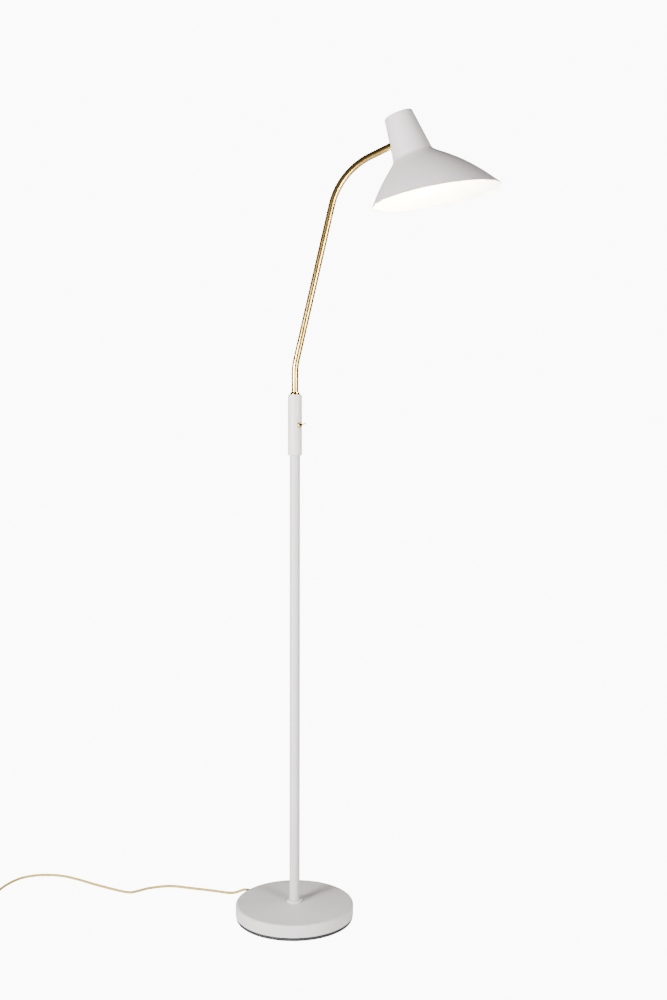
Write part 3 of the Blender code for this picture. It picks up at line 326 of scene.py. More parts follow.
# %% Floor
bm = bmesh.new()
bmesh.ops.create_grid(bm, x_segments=2, y_segments=2, size=30.0)
floor_mesh = bpy.data.meshes.new("floor")
bm.to_mesh(floor_mesh)
bm.free()
floor = bpy.data.objects.new("floor", floor_mesh)
bpy.context.scene.collection.objects.link(floor)
floor_paper = bpy.data.materials.new("floor_paper")
floor_paper.use_nodes = True
add, join = nodes_of(floor_paper.node_tree)
paper = add("ShaderNodeBsdfPrincipled")
paper.inputs["Base Color"].default_value = (0.93, 0.93, 0.93, 1)
paper.inputs["Roughness"].default_value = 0.9
paper.inputs["Emission Color"].default_value = (1, 1, 1, 1)
paper.inputs["Emission Strength"].default_value = 0.25
backlit = add("ShaderNodeEmission")
backlit.inputs["Strength"].default_value = SEEN_WHITE * 1.1
ray = add("ShaderNodeLightPath")
glare = add("ShaderNodeMixShader")
shine = math_node(add, join, "MULTIPLY", (ray, "Is Camera Ray"), 0.93)
join(shine, "Value", glare, 0)
join(paper, "BSDF", glare, 1)
join(backlit, "Emission", glare, 2)
paper_out = add("ShaderNodeOutputMaterial")
join(glare, "Shader", paper_out, "Surface")
floor_mesh.materials.append(floor_paper)
floor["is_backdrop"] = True


# %% Lights
def soft_light(name, place, target, size, power):
    """An area light of size (width, height) that faces target."""
    data = bpy.data.lights.new(name, "AREA")
    data.shape = "RECTANGLE"
    data.size, data.size_y = size
    data.energy = power
    light = bpy.data.objects.new(name, data)
    bpy.context.scene.collection.objects.link(light)
    way = Vector(target) - Vector(place)
    light.matrix_world = Matrix.Translation(place) @ way.to_track_quat("-Z", "Y").to_matrix().to_4x4()
    return light


soft_light("key_light", (-2.3, -2.4, 1.1), (0.1, 0, 1.2), (1.0, 1.2), 280)
soft_light("fill_light", (2.4, -2.5, 0.9), (0, 0, 0.9), (0.8, 1.4), 80)
soft_light("base_light_left", (-0.75, -0.9, 1.2), (0, 0, 0), (0.35, 0.35), 13)
soft_light("base_light_right", (0.8, -0.9, 1.2), (0, 0, 0), (0.35, 0.35), 13)

# %% [markdown]
# ## Shared effects
# Powder coat, brass, plastic and steel all need a fine grain that breaks up their gloss, so it is a
# node group, made once. It puts out a fine grain for roughness and bump, and broad patches for
# colour. The second group puts out a mask of the convex edges, where a finish is a little lighter:
# partly wear, and partly a painted highlight.


# %% Grain group
def new_group(name, inputs, outputs):
    """A shader node group with float inputs (name, default) and outputs (name, socket type)."""
    group = bpy.data.node_groups.new(name, "ShaderNodeTree")
    for label, value in inputs:
        socket = group.interface.new_socket(label, in_out="INPUT", socket_type="NodeSocketFloat")
        socket.default_value = value
    for label, kind in outputs:
        group.interface.new_socket(label, in_out="OUTPUT", socket_type=kind)
    return group


grain = new_group(
    "fine_grain",
    [("Scale", 900.0), ("Patch Scale", 9.0)],
    [("Grain", "NodeSocketFloat"), ("Patches", "NodeSocketFloat")],
)
add, join = nodes_of(grain)
entry = add("NodeGroupInput")
place = add("ShaderNodeTexCoord")
fine = add("ShaderNodeTexNoise")
fine.inputs["Detail"].default_value = 3.0
patchy = add("ShaderNodeTexNoise")
patchy.inputs["Detail"].default_value = 2.0
join(place, "Object", fine, "Vector")
join(place, "Object", patchy, "Vector")
join(entry, "Scale", fine, "Scale")
join(entry, "Patch Scale", patchy, "Scale")
leave = add("NodeGroupOutput")
join(fine, "Fac", leave, "Grain")
join(patchy, "Fac", leave, "Patches")

# %% Edge wear and painted highlight group
wear_and_highlight_group = new_group("edge_wear_and_highlight", [("Edge Low", 0.53), ("Edge High", 0.62)], [("Edge", "NodeSocketFloat")])
add, join = nodes_of(wear_and_highlight_group)
entry = add("NodeGroupInput")
shape = add("ShaderNodeNewGeometry")
edge = add("ShaderNodeMapRange", clamp=True)
join(shape, "Pointiness", edge, "Value")
join(entry, "Edge Low", edge, "From Min")
join(entry, "Edge High", edge, "From Max")
leave = add("NodeGroupOutput")
join(edge, "Result", leave, "Edge")

# %% [markdown]
# ## Finishes
# `finish` builds one material from a table of values: two colours that the patches blend, a
# roughness range, a bump strength and how far edges lighten, partly as wear and partly as a painted
# highlight. Every finish keeps its own Principled BSDF, and only masks come from the groups.


# %% Finish maker
def finish(name, dark, light, rough, metallic=0.0, bump=0.05, scale=900.0, patch=9.0, edge=0.0, **plain):
    """A material. rough is (lowest, highest), edge how strongly edges lighten, plain other sockets."""
    made = bpy.data.materials.new(name)
    made.use_nodes = True
    add, join = nodes_of(made.node_tree)
    surface = add("ShaderNodeBsdfPrincipled")
    surface.inputs["Metallic"].default_value = metallic
    for key, value in plain.items():
        surface.inputs[key.replace("_", " ").title()].default_value = value
    texture = add("ShaderNodeGroup", node_tree=grain)
    texture.inputs["Scale"].default_value = scale
    texture.inputs["Patch Scale"].default_value = patch
    tint = colour_ramp(add, [(0.35, dark), (0.65, light)])
    join(texture, "Patches", tint, "Fac")
    # The edge mask lightens the colour at convex edges: partly wear, partly a painted highlight.
    wear_and_highlight = add("ShaderNodeGroup", node_tree=wear_and_highlight_group)
    share = math_node(add, join, "MULTIPLY", (wear_and_highlight, "Edge"), edge)
    lighter = add("ShaderNodeMix", data_type="RGBA")
    lighter.inputs["B"].default_value = (*[min(1.0, 1.25 * c + 0.03) for c in light], 1)
    join(share, "Value", lighter, "Factor")
    join(tint, "Color", lighter, "A")
    tree = made.node_tree
    tree.links.new(lighter.outputs["Result"], surface.inputs["Base Color"])
    gloss = add("ShaderNodeMapRange")
    gloss.inputs["To Min"].default_value, gloss.inputs["To Max"].default_value = rough
    join(texture, "Grain", gloss, "Value")
    join(gloss, "Result", surface, "Roughness")
    relief = add("ShaderNodeBump")
    relief.inputs["Strength"].default_value = bump
    relief.inputs["Distance"].default_value = 0.0002
    join(texture, "Grain", relief, "Height")
    join(relief, "Normal", surface, "Normal")
    out = add("ShaderNodeOutputMaterial")
    join(surface, "BSDF", out, "Surface")
    made.diffuse_color = (*light, 1)
    return made


# %% Paint, metal and plastic
PAINT = finish(
    "warm_grey_powder_coat", (0.565, 0.545, 0.535), (0.600, 0.580, 0.570), (0.48, 0.62),
    bump=0.18, scale=1300, edge=0.25,
)
SLEEVE_PAINT = finish(
    "sleeve_powder_coat", (0.670, 0.615, 0.600), (0.700, 0.648, 0.632), (0.42, 0.55),
    bump=0.15, scale=1300, edge=0.25,
)
SHADE_PAINT = finish(
    "shade_powder_coat", (0.620, 0.570, 0.568), (0.655, 0.605, 0.602), (0.48, 0.62),
    bump=0.18, scale=1300, edge=0.2,
)
BRASS = finish(
    "satin_brass", (0.52, 0.33, 0.085), (0.64, 0.43, 0.125), (0.16, 0.24),
    metallic=1.0, bump=0.0, scale=1500, patch=25, edge=0.1,
)
STEEL = finish(
    "zinc_steel", (0.50, 0.51, 0.53), (0.60, 0.61, 0.63), (0.28, 0.42),
    metallic=1.0, scale=700, patch=60, edge=0.3,
)
IRON = finish(
    "cast_iron", (0.07, 0.07, 0.07), (0.14, 0.135, 0.13), (0.7, 0.9),
    metallic=0.5, bump=0.6, scale=500, patch=40, edge=0.4,
)
GUNMETAL = finish(
    "gunmetal", (0.10, 0.10, 0.11), (0.16, 0.16, 0.17), (0.22, 0.34),
    metallic=1.0, scale=900, patch=90, edge=0.5,
)
BLACK = finish(
    "black_plastic", (0.018, 0.018, 0.020), (0.030, 0.030, 0.032), (0.38, 0.55),
    bump=0.25, scale=1100, patch=60, edge=0.3,
)
PAD = finish(
    "black_foam_pad", (0.010, 0.010, 0.011), (0.022, 0.022, 0.023), (0.8, 0.95),
    bump=0.7, scale=650, patch=30,
)
NYLON = finish(
    "natural_nylon", (0.68, 0.65, 0.58), (0.76, 0.73, 0.66), (0.42, 0.58),
    bump=0.12, scale=900, patch=50, edge=0.2,
)

# %% [markdown]
# The shade's inside is off-white enamel, and the globe is opal glass that glows. The glow lights
# the inside by itself, as the real lamp does.

# %% Inside enamel and glass
ENAMEL = finish(
    "shade_inside_enamel", (0.90, 0.88, 0.82), (0.94, 0.92, 0.86), (0.42, 0.55), bump=0.12, scale=1300
)
OPAL = finish(
    "opal_glass_lit", (0.95, 0.93, 0.88), (0.98, 0.96, 0.92), (0.15, 0.25), bump=0.03, patch=30,
    emission_color=(1.0, 0.86, 0.6, 1), emission_strength=18.0, coat_weight=0.5,
)


# %% Braided textile
def braid(name, dark, light, along, around):
    """Two sets of slanted ribs that cross, read from the curve's own UV so they follow its bends."""
    made = bpy.data.materials.new(name)
    made.use_nodes = True
    add, join = nodes_of(made.node_tree)
    surface = add("ShaderNodeBsdfPrincipled")
    surface.inputs["Roughness"].default_value = 0.62
    surface.inputs["Sheen Weight"].default_value = 0.35
    surface.inputs["Sheen Roughness"].default_value = 0.4
    place = add("ShaderNodeUVMap", uv_map="UVMap")
    split = add("ShaderNodeSeparateXYZ")
    join(place, "UV", split, "Vector")
    length = math_node(add, join, "MULTIPLY", (split, "X"), along)
    turn = math_node(add, join, "MULTIPLY", (split, "Y"), around)
    ribs = []
    for operation in ("ADD", "SUBTRACT"):
        slant = math_node(add, join, operation, (length, "Value"), (turn, "Value"))
        wave = math_node(add, join, "SINE", (slant, "Value"), 0.0)
        ribs.append(math_node(add, join, "ABSOLUTE", (wave, "Value"), 0.0))
    top = math_node(add, join, "MAXIMUM", (ribs[0], "Value"), (ribs[1], "Value"))
    texture = add("ShaderNodeGroup", node_tree=grain)
    texture.inputs["Scale"].default_value = 2500
    texture.inputs["Patch Scale"].default_value = 60
    mottled = math_node(add, join, "MULTIPLY", (texture, "Patches"), 0.5)
    shade = math_node(add, join, "ADD", (top, "Value"), (mottled, "Value"))
    # Rib tops are coloured lighter and the grooves darker: painted shade between the strands, with random
    # patches of tone added.
    tint = colour_ramp(add, [(0.45, dark), (1.2 / 1.5, light)])
    join(shade, "Value", tint, "Fac")
    join(tint, "Color", surface, "Base Color")
    fuzz = math_node(add, join, "MULTIPLY", (texture, "Grain"), 0.25)
    height = math_node(add, join, "ADD", (top, "Value"), (fuzz, "Value"))
    relief = add("ShaderNodeBump")
    relief.inputs["Strength"].default_value = 0.6
    relief.inputs["Distance"].default_value = 0.0003
    join(height, "Value", relief, "Height")
    join(relief, "Normal", surface, "Normal")
    out = add("ShaderNodeOutputMaterial")
    join(surface, "BSDF", out, "Surface")
    made.diffuse_color = (*light, 1)
    return made


# %% [markdown]
# ## Turned parts
# Most of the lamp is spun or turned: the base, the collars, the sleeve, the dome and the shade. Each
# starts as a profile of a few vertices in the XZ plane. bmesh's spin turns it about Z, doubles are
# merged, and normals are recalculated. A bevel on the hard corners gives each edge a highlight.


# %% Turning
def link(name, bm, finish_used, place=None, sharp=35):
    """Makes the bmesh an object at the origin, in place, with one material and smooth shading."""
    if place is not None:
        bmesh.ops.transform(bm, matrix=place, verts=bm.verts)
    bmesh.ops.recalc_face_normals(bm, faces=bm.faces)
    mesh = bpy.data.meshes.new(name)
    bm.to_mesh(mesh)
    bm.free()
    mesh.materials.append(finish_used)
    mesh.shade_smooth()
    mesh.set_sharp_from_angle(angle=math.radians(sharp))
    made = bpy.data.objects.new(name, mesh)
    bpy.context.scene.collection.objects.link(made)
    return made


def spun(profile, steps=96, closed=False):
    """A bmesh of the profile's (radius, height) points spun about Z. closed joins its last to its first."""
    bm = bmesh.new()
    row = [bm.verts.new((radius, 0, height)) for radius, height in profile]
    edges = [bm.edges.new(pair) for pair in zip(row, row[1:])]
    if closed:
        edges.append(bm.edges.new((row[-1], row[0])))
    bmesh.ops.spin(
        bm, geom=row + edges, cent=(0, 0, 0), axis=(0, 0, 1), angle=2 * math.pi, steps=steps, use_merge=True
    )
    bmesh.ops.remove_doubles(bm, verts=bm.verts, dist=0.000005)
    return bm


def rounded(points, radii, segments=5):
    """A profile with its corners rounded. radii holds one radius for each point."""
    made = []
    for i, corner in enumerate(points):
        if radii[i] <= 0:
            made.append(tuple(corner))
            continue
        here = Vector(corner)
        before = (Vector(points[i - 1]) - here).normalized()
        after = (Vector(points[(i + 1) % len(points)]) - here).normalized()
        half = math.acos(before.dot(after)) / 2
        centre = here + (before + after).normalized() * (radii[i] / math.sin(half))
        start = here + before * (radii[i] / math.tan(half)) - centre
        sweep = (math.pi - 2 * half) * (1 if before.cross(after) < 0 else -1)
        for k in range(segments + 1):
            c, s = math.cos(sweep * k / segments), math.sin(sweep * k / segments)
            made.append((centre.x + start.x * c - start.y * s, centre.y + start.x * s + start.y * c))
    return made


def settle(piece, body, slot, *nodes):
    """Rides a piece on its body and hides the CAD nodes that it stands for. slot is not used."""
    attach(piece, body)
    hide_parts(*nodes)
    print(piece.name, "for", ", ".join(nodes), "-", len(getattr(piece.data, "polygons", ())), "faces")
    return piece


# %% [markdown]
# ## The base
# The base is a pressed steel pan with a softly rounded edge. It sits on a foam pad that is a little
# smaller, which shows as a thin black line at the floor. The pan's section goes round its wall, so
# it has a real thickness at its lower edge and at the pole's hole.

# %% Base cover and pad
base_low, base_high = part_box("base_cover")
BASE_RADIUS = base_high.x
base_bottom, base_top = base_low.z, base_high.z
WALL, HOLE = 0.0015, 0.0066
pan = [(HOLE, base_top), (BASE_RADIUS, base_top), (BASE_RADIUS, base_bottom)]
pan += [(BASE_RADIUS - WALL, base_bottom), (BASE_RADIUS - WALL, base_top - WALL), (HOLE, base_top - WALL)]
pan = rounded(pan, (0, 0.005, 0.0004, 0.0004, 0.0035, 0), 8)
base_piece = link("base_pan", spun(pan, 160, closed=True), PAINT)
settle(base_piece, "stand", "paint", "base_cover")

pad_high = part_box("foot_pad")[1]
pad = rounded(
    [(0, pad_high.z), (pad_high.x, pad_high.z), (pad_high.x, 0), (0, 0)], (0, 0.0008, 0.0012, 0), 4
)
settle(link("base_pad", spun(pad, 128), PAD), "stand", "pad", "foot_pad")

# %% [markdown]
# The pole is a plain painted tube with a low collar at its foot. Fine rings of the tube's height
# are not needed: the grain and the soft light carry it.

# %% Pole and collar
pole_low, pole_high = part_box("pole_tube")
pole = [(0.0085, pole_high.z), (0.0100, pole_high.z), (0.0100, pole_low.z), (0.0085, pole_low.z)]
pole = rounded(pole, (0, 0.0003, 0.0003, 0), 3)
settle(link("pole", spun(pole, 64, closed=True), PAINT), "stand", "paint", "pole_tube")

collar_low, collar_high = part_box("pole_collar")
collar = [(0.0103, collar_high.z), (collar_high.x, collar_high.z), (collar_high.x, collar_low.z)]
collar += [(0.0103, collar_low.z)]
collar = rounded(collar, (0.0003, 0.003, 0.0002, 0), 7)
settle(link("pole_foot_collar", spun(collar, 72, closed=True), PAINT), "stand", "paint", "pole_collar")

# %% [markdown]
# ## The sleeve and its switch
# The sleeve is a thicker tube that joins the pole to the arm. Its ends have small chamfers that
# catch the light. The switch's domed brass nut sits on its wall, and the lever leaves the dome
# through a small hole.

# %% Sleeve
sleeve_low, sleeve_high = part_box("switch_sleeve")
sleeve = [(0.012, sleeve_high.z), (0.0135, sleeve_high.z), (0.0135, sleeve_low.z), (0.012, sleeve_low.z)]
sleeve = rounded(sleeve, (0.0003, 0.0006, 0.0006, 0.0003), 4)
settle(link("sleeve", spun(sleeve, 96, closed=True), SLEEVE_PAINT), "stand", "paint", "switch_sleeve")

# %% Dome nut and lever
DOME_RADIUS, DOME_HOLE, DOME_FOOT = 0.0056, 0.0023, 0.0138
start = math.asin((DOME_HOLE + 0.0003) / DOME_RADIUS)
dome = [(DOME_HOLE, DOME_FOOT + math.sqrt(DOME_RADIUS**2 - DOME_HOLE**2) - 0.0004)]
for k in range(13):
    angle = start + (math.pi / 2 - 0.16 - start) * k / 12
    dome.append((DOME_RADIUS * math.sin(angle), DOME_FOOT + DOME_RADIUS * math.cos(angle)))
dome += [(DOME_RADIUS - 0.0002, DOME_FOOT + 0.0006), (DOME_RADIUS, DOME_FOOT + 0.0004)]
dome += [(DOME_RADIUS, DOME_FOOT), (0.0033, DOME_FOOT), (0.0033, DOME_FOOT + 0.0037)]
dome += [(DOME_HOLE, DOME_FOOT + 0.0037)]
dome_piece = link("switch_dome", spun(dome, 56, closed=True), BRASS, SWITCH_PLACE, 50)
settle(dome_piece, "stand", "brass", "switch_dome_nut")

LEVER_PLACE = SWITCH_PLACE @ Matrix.Translation((0, 0, 0.0155)) @ Matrix.Rotation(math.radians(10), 4, "Y")
TIP, MIDDLE = 0.0015, 0.016
lever = [(TIP * math.sin(k * math.pi / 16), MIDDLE + TIP * math.cos(k * math.pi / 16)) for k in range(11)]
lever += [(0.0011, MIDDLE - 0.0026), (0.00105, 0.0022), (0.00145, 0.0010), (0.0016, 0.0)]
lever += [(0.00145, -0.0008), (0.0009, -0.0018), (0, -0.0018)]
settle(link("switch_lever", spun(lever, 32), GUNMETAL, LEVER_PLACE), "toggle", "gunmetal", "toggle_lever")

# %% [markdown]
# ## The arm
# The arm is one brass tube, bent twice. A circle is made once at the lower end, and extruded from
# station to station along the path, turned square to it each time, which keeps one clean tube. A
# solidify step gives it its wall.

# %% Arm path
ARM_RADIUS = 0.0065


def in_plane(angle):
    """A direction in the XZ plane, this many degrees above level."""
    return Vector((math.cos(math.radians(angle)), 0, math.sin(math.radians(angle))))


def bent_path(corners, radii, segments):
    """A path through the corners with each inner corner turned into an arc, with close stations."""
    made = [corners[0]]
    for before, here, after, radius in zip(corners, corners[1:], corners[2:], radii):
        back, on = (before - here).normalized(), (after - here).normalized()
        half = back.angle(on) / 2
        centre = here + (back + on).normalized() * (radius / math.sin(half))
        start = here + back * (radius / math.tan(half)) - centre
        end = here + on * (radius / math.tan(half)) - centre
        sweep = math.pi - 2 * half
        for k in range(segments + 1):
            share = k / segments
            near, far = math.sin((1 - share) * sweep), math.sin(share * sweep)
            made.append(centre + (start * near + end * far) / math.sin(sweep))
    return [*made, corners[-1]]


lower_corner = Vector((0, 0, SLEEVE_TOP + 0.0538))
upper_corner = lower_corner + in_plane(90 - 12.87) * 0.3744
arm_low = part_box("arm_tube")[0]
arm_corners = [Vector((0, 0, arm_low.z)), lower_corner, upper_corner, TILT_AXIS - in_plane(26) * 0.0105]
arm_path = bent_path(arm_corners, (0.110, 0.135), 28)

# %% Arm tube
bm = bmesh.new()
foot = Matrix.Translation(arm_path[0])
ring = bmesh.ops.create_circle(bm, segments=56, radius=ARM_RADIUS, matrix=foot)["verts"]
loop = list({edge for vert in ring for edge in vert.link_edges})
heading = Vector((0, 0, 1))
for i, (here, there) in enumerate(zip(arm_path, arm_path[1:])):
    grown = bmesh.ops.extrude_edge_only(bm, edges=loop)["geom"]
    moved = [item for item in grown if isinstance(item, bmesh.types.BMVert)]
    loop = [item for item in grown if isinstance(item, bmesh.types.BMEdge)]
    onward = (arm_path[min(i + 2, len(arm_path) - 1)] - here).normalized()
    turn = heading.rotation_difference(onward).to_matrix().to_4x4()
    bmesh.ops.transform(bm, matrix=Matrix.Translation(there) @ turn @ Matrix.Translation(-here), verts=moved)
    heading = onward
bmesh.ops.recalc_face_normals(bm, faces=bm.faces)
bmesh.ops.solidify(bm, geom=bm.faces[:], thickness=0.001)
arm_piece = link("brass_arm", bm, BRASS, None, 50)
settle(arm_piece, "arm", "brass", "arm_tube")

# %% Arm collar
arm_collar_low, arm_collar_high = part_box("arm_collar")
cone = [(0.0068, arm_collar_high.z), (0.0076, arm_collar_high.z), (0.0100, arm_collar_low.z + 0.0012)]
cone += [(0.0100, arm_collar_low.z), (0.0068, arm_collar_low.z)]
cone = rounded(cone, (0, 0.0005, 0.0006, 0.0002, 0), 4)
settle(link("sleeve_top_collar", spun(cone, 64, closed=True), BRASS), "arm", "brass", "arm_collar")

# %% [markdown]
# ## The shade
# Neck and skirt are spun from one disc of metal, so one profile makes both: down the neck's straight
# side, through a tight curve at the crease, and out along the flaring skirt. The rim is then trimmed
# on a slanted plane with bisect_plane, and solidify gives the wall. The neck's back gets a slot for
# the arm. Faces on the inner side take the white enamel.

# %% Shade profile
NECK_TOP, NECK_FOOT = 0.0473, -0.0304
NECK_TOP_RADIUS, NECK_FOOT_RADIUS = 0.0273, 0.03847
SHADE_WALL = 0.0012


def skirt(count):
    """Points down the skirt, on a cubic curve that leaves the neck along its slope."""
    slope = Vector((NECK_FOOT_RADIUS - NECK_TOP_RADIUS, NECK_FOOT - NECK_TOP)).normalized()
    a = Vector((NECK_FOOT_RADIUS, NECK_FOOT))
    b = a + slope * 0.0141
    c = Vector((0.0884, NECK_FOOT - 0.0281))
    d = Vector((0.1481, NECK_FOOT - 0.1300))
    made = []
    for k in range(1, count + 1):
        t = k / count
        made.append(tuple(a * (1 - t) ** 3 + b * 3 * t * (1 - t) ** 2 + c * 3 * t * t * (1 - t) + d * t**3))
    return made


neck = rounded([(0, NECK_TOP), (NECK_TOP_RADIUS, NECK_TOP), (NECK_FOOT_RADIUS, NECK_FOOT)], (0, 0.003, 0), 7)
crown, side = neck[:-1], neck[-1]
straight = []
for k in range(1, 15):
    across = crown[-1][0] + (side[0] - crown[-1][0]) * k / 14
    straight.append((across, crown[-1][1] + (side[1] - crown[-1][1]) * k / 14))
shade_outline = crown + straight + skirt(44)

# %% Shade shell
bm = spun(shade_outline, 192)
RIM_LEAN = SHADE_LEAN - math.radians(9.86)
rim_point = Vector((0, 0, NECK_FOOT - 0.0862))
rim_normal = Matrix.Rotation(RIM_LEAN, 3, "Y") @ Vector((0, 0, 1))
geometry = bm.verts[:] + bm.edges[:] + bm.faces[:]
bmesh.ops.bisect_plane(bm, geom=geometry, plane_co=rim_point, plane_no=-rim_normal, clear_outer=True)
bmesh.ops.recalc_face_normals(bm, faces=bm.faces)
if bm.faces[0].normal.z < 0 and bm.faces[0].calc_center_median().z > NECK_TOP - 0.001:
    bmesh.ops.reverse_faces(bm, faces=bm.faces)
outer_count = len(bm.faces)
bmesh.ops.solidify(bm, geom=bm.faces[:], thickness=SHADE_WALL)
print("shade outer faces", outer_count, "all", len(bm.faces))

shade_mesh = bpy.data.meshes.new("shade")
bmesh.ops.transform(bm, matrix=SHADE_PLACE, verts=bm.verts)
bmesh.ops.recalc_face_normals(bm, faces=bm.faces)
bm.to_mesh(shade_mesh)
bm.free()
shade_mesh.materials.append(SHADE_PAINT)
shade_mesh.materials.append(ENAMEL)
shade = bpy.data.objects.new("shade", shade_mesh)
bpy.context.scene.collection.objects.link(shade)

# %% [markdown]
# The slot for the arm is a round-ended bar, taken out with a Boolean, because it cuts the spun wall at
# a place of its own. The bar is made from a cube stretched and bevelled until its ends are round.

# %% Shade slot
taper = (NECK_FOOT_RADIUS - NECK_TOP_RADIUS) / (NECK_TOP - NECK_FOOT)
reach = NECK_FOOT_RADIUS + taper * NECK_FOOT
slot_radius = ARM_RADIUS + 0.0008
slot_ends = []
for way in (1, -1):
    swing = math.radians(20 - way * (26 - math.degrees(SHADE_LEAN)))
    height = reach * math.tan(swing) + slot_radius / math.cos(swing)
    slot_ends.append(way * height / (1 + way * taper * math.tan(swing)))
bm = bmesh.new()
bmesh.ops.create_cube(bm, size=1.0)
slot_height = slot_ends[0] - slot_ends[1]
bmesh.ops.scale(bm, vec=(reach / 2 + 0.015, 2 * slot_radius, slot_height), verts=bm.verts)
slot_middle = (-(reach + 0.015 + reach / 2) / 2, 0, (slot_ends[0] + slot_ends[1]) / 2)
bmesh.ops.translate(bm, vec=slot_middle, verts=bm.verts)
ends = [edge for edge in bm.edges if abs((edge.verts[0].co - edge.verts[1].co).normalized().x) > 0.9]
bmesh.ops.bevel(
    bm, geom=ends, offset=slot_radius * 0.998, segments=12, profile=0.5, affect="EDGES", material=-1
)
slot_bar = link("slot_bar", bm, STEEL, SHADE_PLACE)
opening = shade.modifiers.new("slot", "BOOLEAN")
opening.operation = "DIFFERENCE"
opening.solver = "EXACT"
opening.object = slot_bar
slotted = bpy.data.meshes.new_from_object(shade.evaluated_get(bpy.context.evaluated_depsgraph_get()))
shade.modifiers.clear()
shade.data = slotted
bpy.data.objects.remove(slot_bar, do_unlink=True)

# %% Shade finishes
slotted.materials.clear()
slotted.materials.append(SHADE_PAINT)
slotted.materials.append(ENAMEL)
to_shade = SHADE_PLACE.inverted()
for face in slotted.polygons:
    spot = to_shade @ face.center
    normal = to_shade.to_3x3() @ face.normal
    outward = normal.x * spot.x + normal.y * spot.y + normal.z * (0.02 if spot.z < 0.044 else 1.0)
    face.material_index = 0 if outward > 0 else 1
slotted.shade_smooth()
slotted.set_sharp_from_angle(angle=math.radians(35))
settle(shade, "shade", "shade_metal", "shade_shell")

# %% [markdown]
# ## Lamp holder and bulb
# The holder is black moulded plastic with a groove round its skirt. The globe is opal, closed
# at its crown, with a screw cap in the holder.

# %% Lamp holder
HOLDER_TOP = -0.0138
HOLDER_MOUTH = HOLDER_TOP - 0.0426
SOCKET_TOP = HOLDER_MOUTH + 0.025
holder = [(0.0046, HOLDER_TOP), (0.011, HOLDER_TOP), (0.0137, HOLDER_TOP - 0.0065)]
holder += [(0.014, HOLDER_TOP - 0.008)]
holder += [(0.014, HOLDER_TOP - 0.0235), (0.0133, HOLDER_TOP - 0.0240), (0.0133, HOLDER_TOP - 0.0252)]
holder += [(0.014, HOLDER_TOP - 0.0257), (0.014, HOLDER_MOUTH), (0.0074, HOLDER_MOUTH), (0.0074, SOCKET_TOP)]
holder += [(0.0019, SOCKET_TOP), (0.0019, HOLDER_TOP - 0.0084), (0.0046, HOLDER_TOP - 0.0084)]
holder = rounded(holder, (0, 0.0008, 0, 0, 0, 0, 0, 0, 0.0009, 0.0006, 0, 0, 0, 0), 4)
holder_piece = link("bulb_holder", spun(holder, 72, closed=True), BLACK, SHADE_PLACE)
settle(holder_piece, "shade", "black_plastic", "lamp_holder")

# %% Bulb
CAP_TOP, CAP_BOTTOM = SOCKET_TOP - 0.0020, HOLDER_MOUTH + 0.0001
cap = [(0, CAP_TOP), (0.0030, CAP_TOP), (0.0064, CAP_TOP - 0.0028)]
threads = 6
for k in range(threads * 4 + 1):
    fall = (CAP_TOP - 0.0032 - CAP_BOTTOM - 0.0015) * k / (threads * 4)
    cap.append((0.00655 - 0.00015 * math.cos(k * math.pi / 2), CAP_TOP - 0.0032 - fall))
cap += [(0.0067, CAP_BOTTOM), (0, CAP_BOTTOM)]
settle(link("bulb_screw_cap", spun(cap, 48), BRASS, SHADE_PLACE, 60), "shade", "brass", "bulb_cap")

GLOBE = 0.0225
glass_top = CAP_BOTTOM - 0.0003
globe_middle = glass_top - 0.0557 + GLOBE
glass = [(0.0063, glass_top), (0.0065, glass_top - 0.004), (0.0085, globe_middle + GLOBE + 0.0012)]
for k in range(5, 33):
    angle = math.pi * k / 32
    glass.append((GLOBE * math.sin(angle), globe_middle + GLOBE * math.cos(angle)))
glass[-1] = (0, globe_middle - GLOBE)
bm = spun(glass, 64)
bmesh.ops.transform(bm, matrix=SHADE_PLACE, verts=bm.verts)
bmesh.ops.recalc_face_normals(bm, faces=bm.faces)
bmesh.ops.solidify(bm, geom=bm.faces[:], thickness=0.001)
settle(link("bulb_glass", bm, OPAL), "shade", "opal_glass", "bulb_globe")

# %% [markdown]
# A small warm light inside the shade stands in for the part of the bulb's light that a glowing
# surface gives only noisily. It moves with the shade.

# %% Bulb light
glow = bpy.data.lights.new("bulb_light", "POINT")
glow.energy = 10
glow.color = (1.0, 0.88, 0.66)
glow.shadow_soft_size = 0.01
bulb_light = bpy.data.objects.new("bulb_light", glow)
bpy.context.scene.collection.objects.link(bulb_light)
bulb_light.matrix_world = SHADE_PLACE @ Matrix.Translation((0, 0, globe_middle - 0.028))
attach(bulb_light, "shade")

# %% [markdown]
# ## The cord and what is on it
# The cord's textile jacket is a fine braid. Where it leaves the base it passes through a ribbed
# strain relief, which is turned, with grooves that let it bend. The plug is a flat body made by
# bevelling an extruded outline, whose sides taper to a grooved boot.

# %% Cord finish
BRAID_PITCH = 0.0042
RIBS_ALONG = CORD_LENGTH / BRAID_PITCH * math.pi
RIBS_AROUND = 6 * math.pi
TEXTILE = braid("gold_braid", (0.20, 0.120, 0.012), (0.46, 0.320, 0.040), RIBS_ALONG, RIBS_AROUND)
mains_cord.data.materials.append(TEXTILE)
settle(mains_cord, "stand", "textile", "cord_run", "cord_coil", "cord_tail")

# %% Strain relief
relief_foot = 0.1153
relief = [(0, relief_foot + 0.021), (0.0033, relief_foot + 0.021)]
for k in range(6):
    near = relief_foot + 0.0182 - 0.0026 * k
    thick = 0.00345 + 0.00018 * k
    relief += [(thick, near + 0.0011), (thick, near + 0.0002)]
    relief += [(thick - 0.0005, near), (thick - 0.0005, near - 0.0009)]
relief += [(0.0050, relief_foot + 0.0018), (0.0050, relief_foot), (0.0042, relief_foot), (0.0042, 0.1120)]
relief += [(0.0053, 0.1120), (0.0053, 0.1104), (0, 0.1104)]
relief_piece = link("cord_relief", spun(relief, 40), BLACK, CORD_PLACE)
settle(relief_piece, "stand", "black_plastic", "cord_strain_relief")

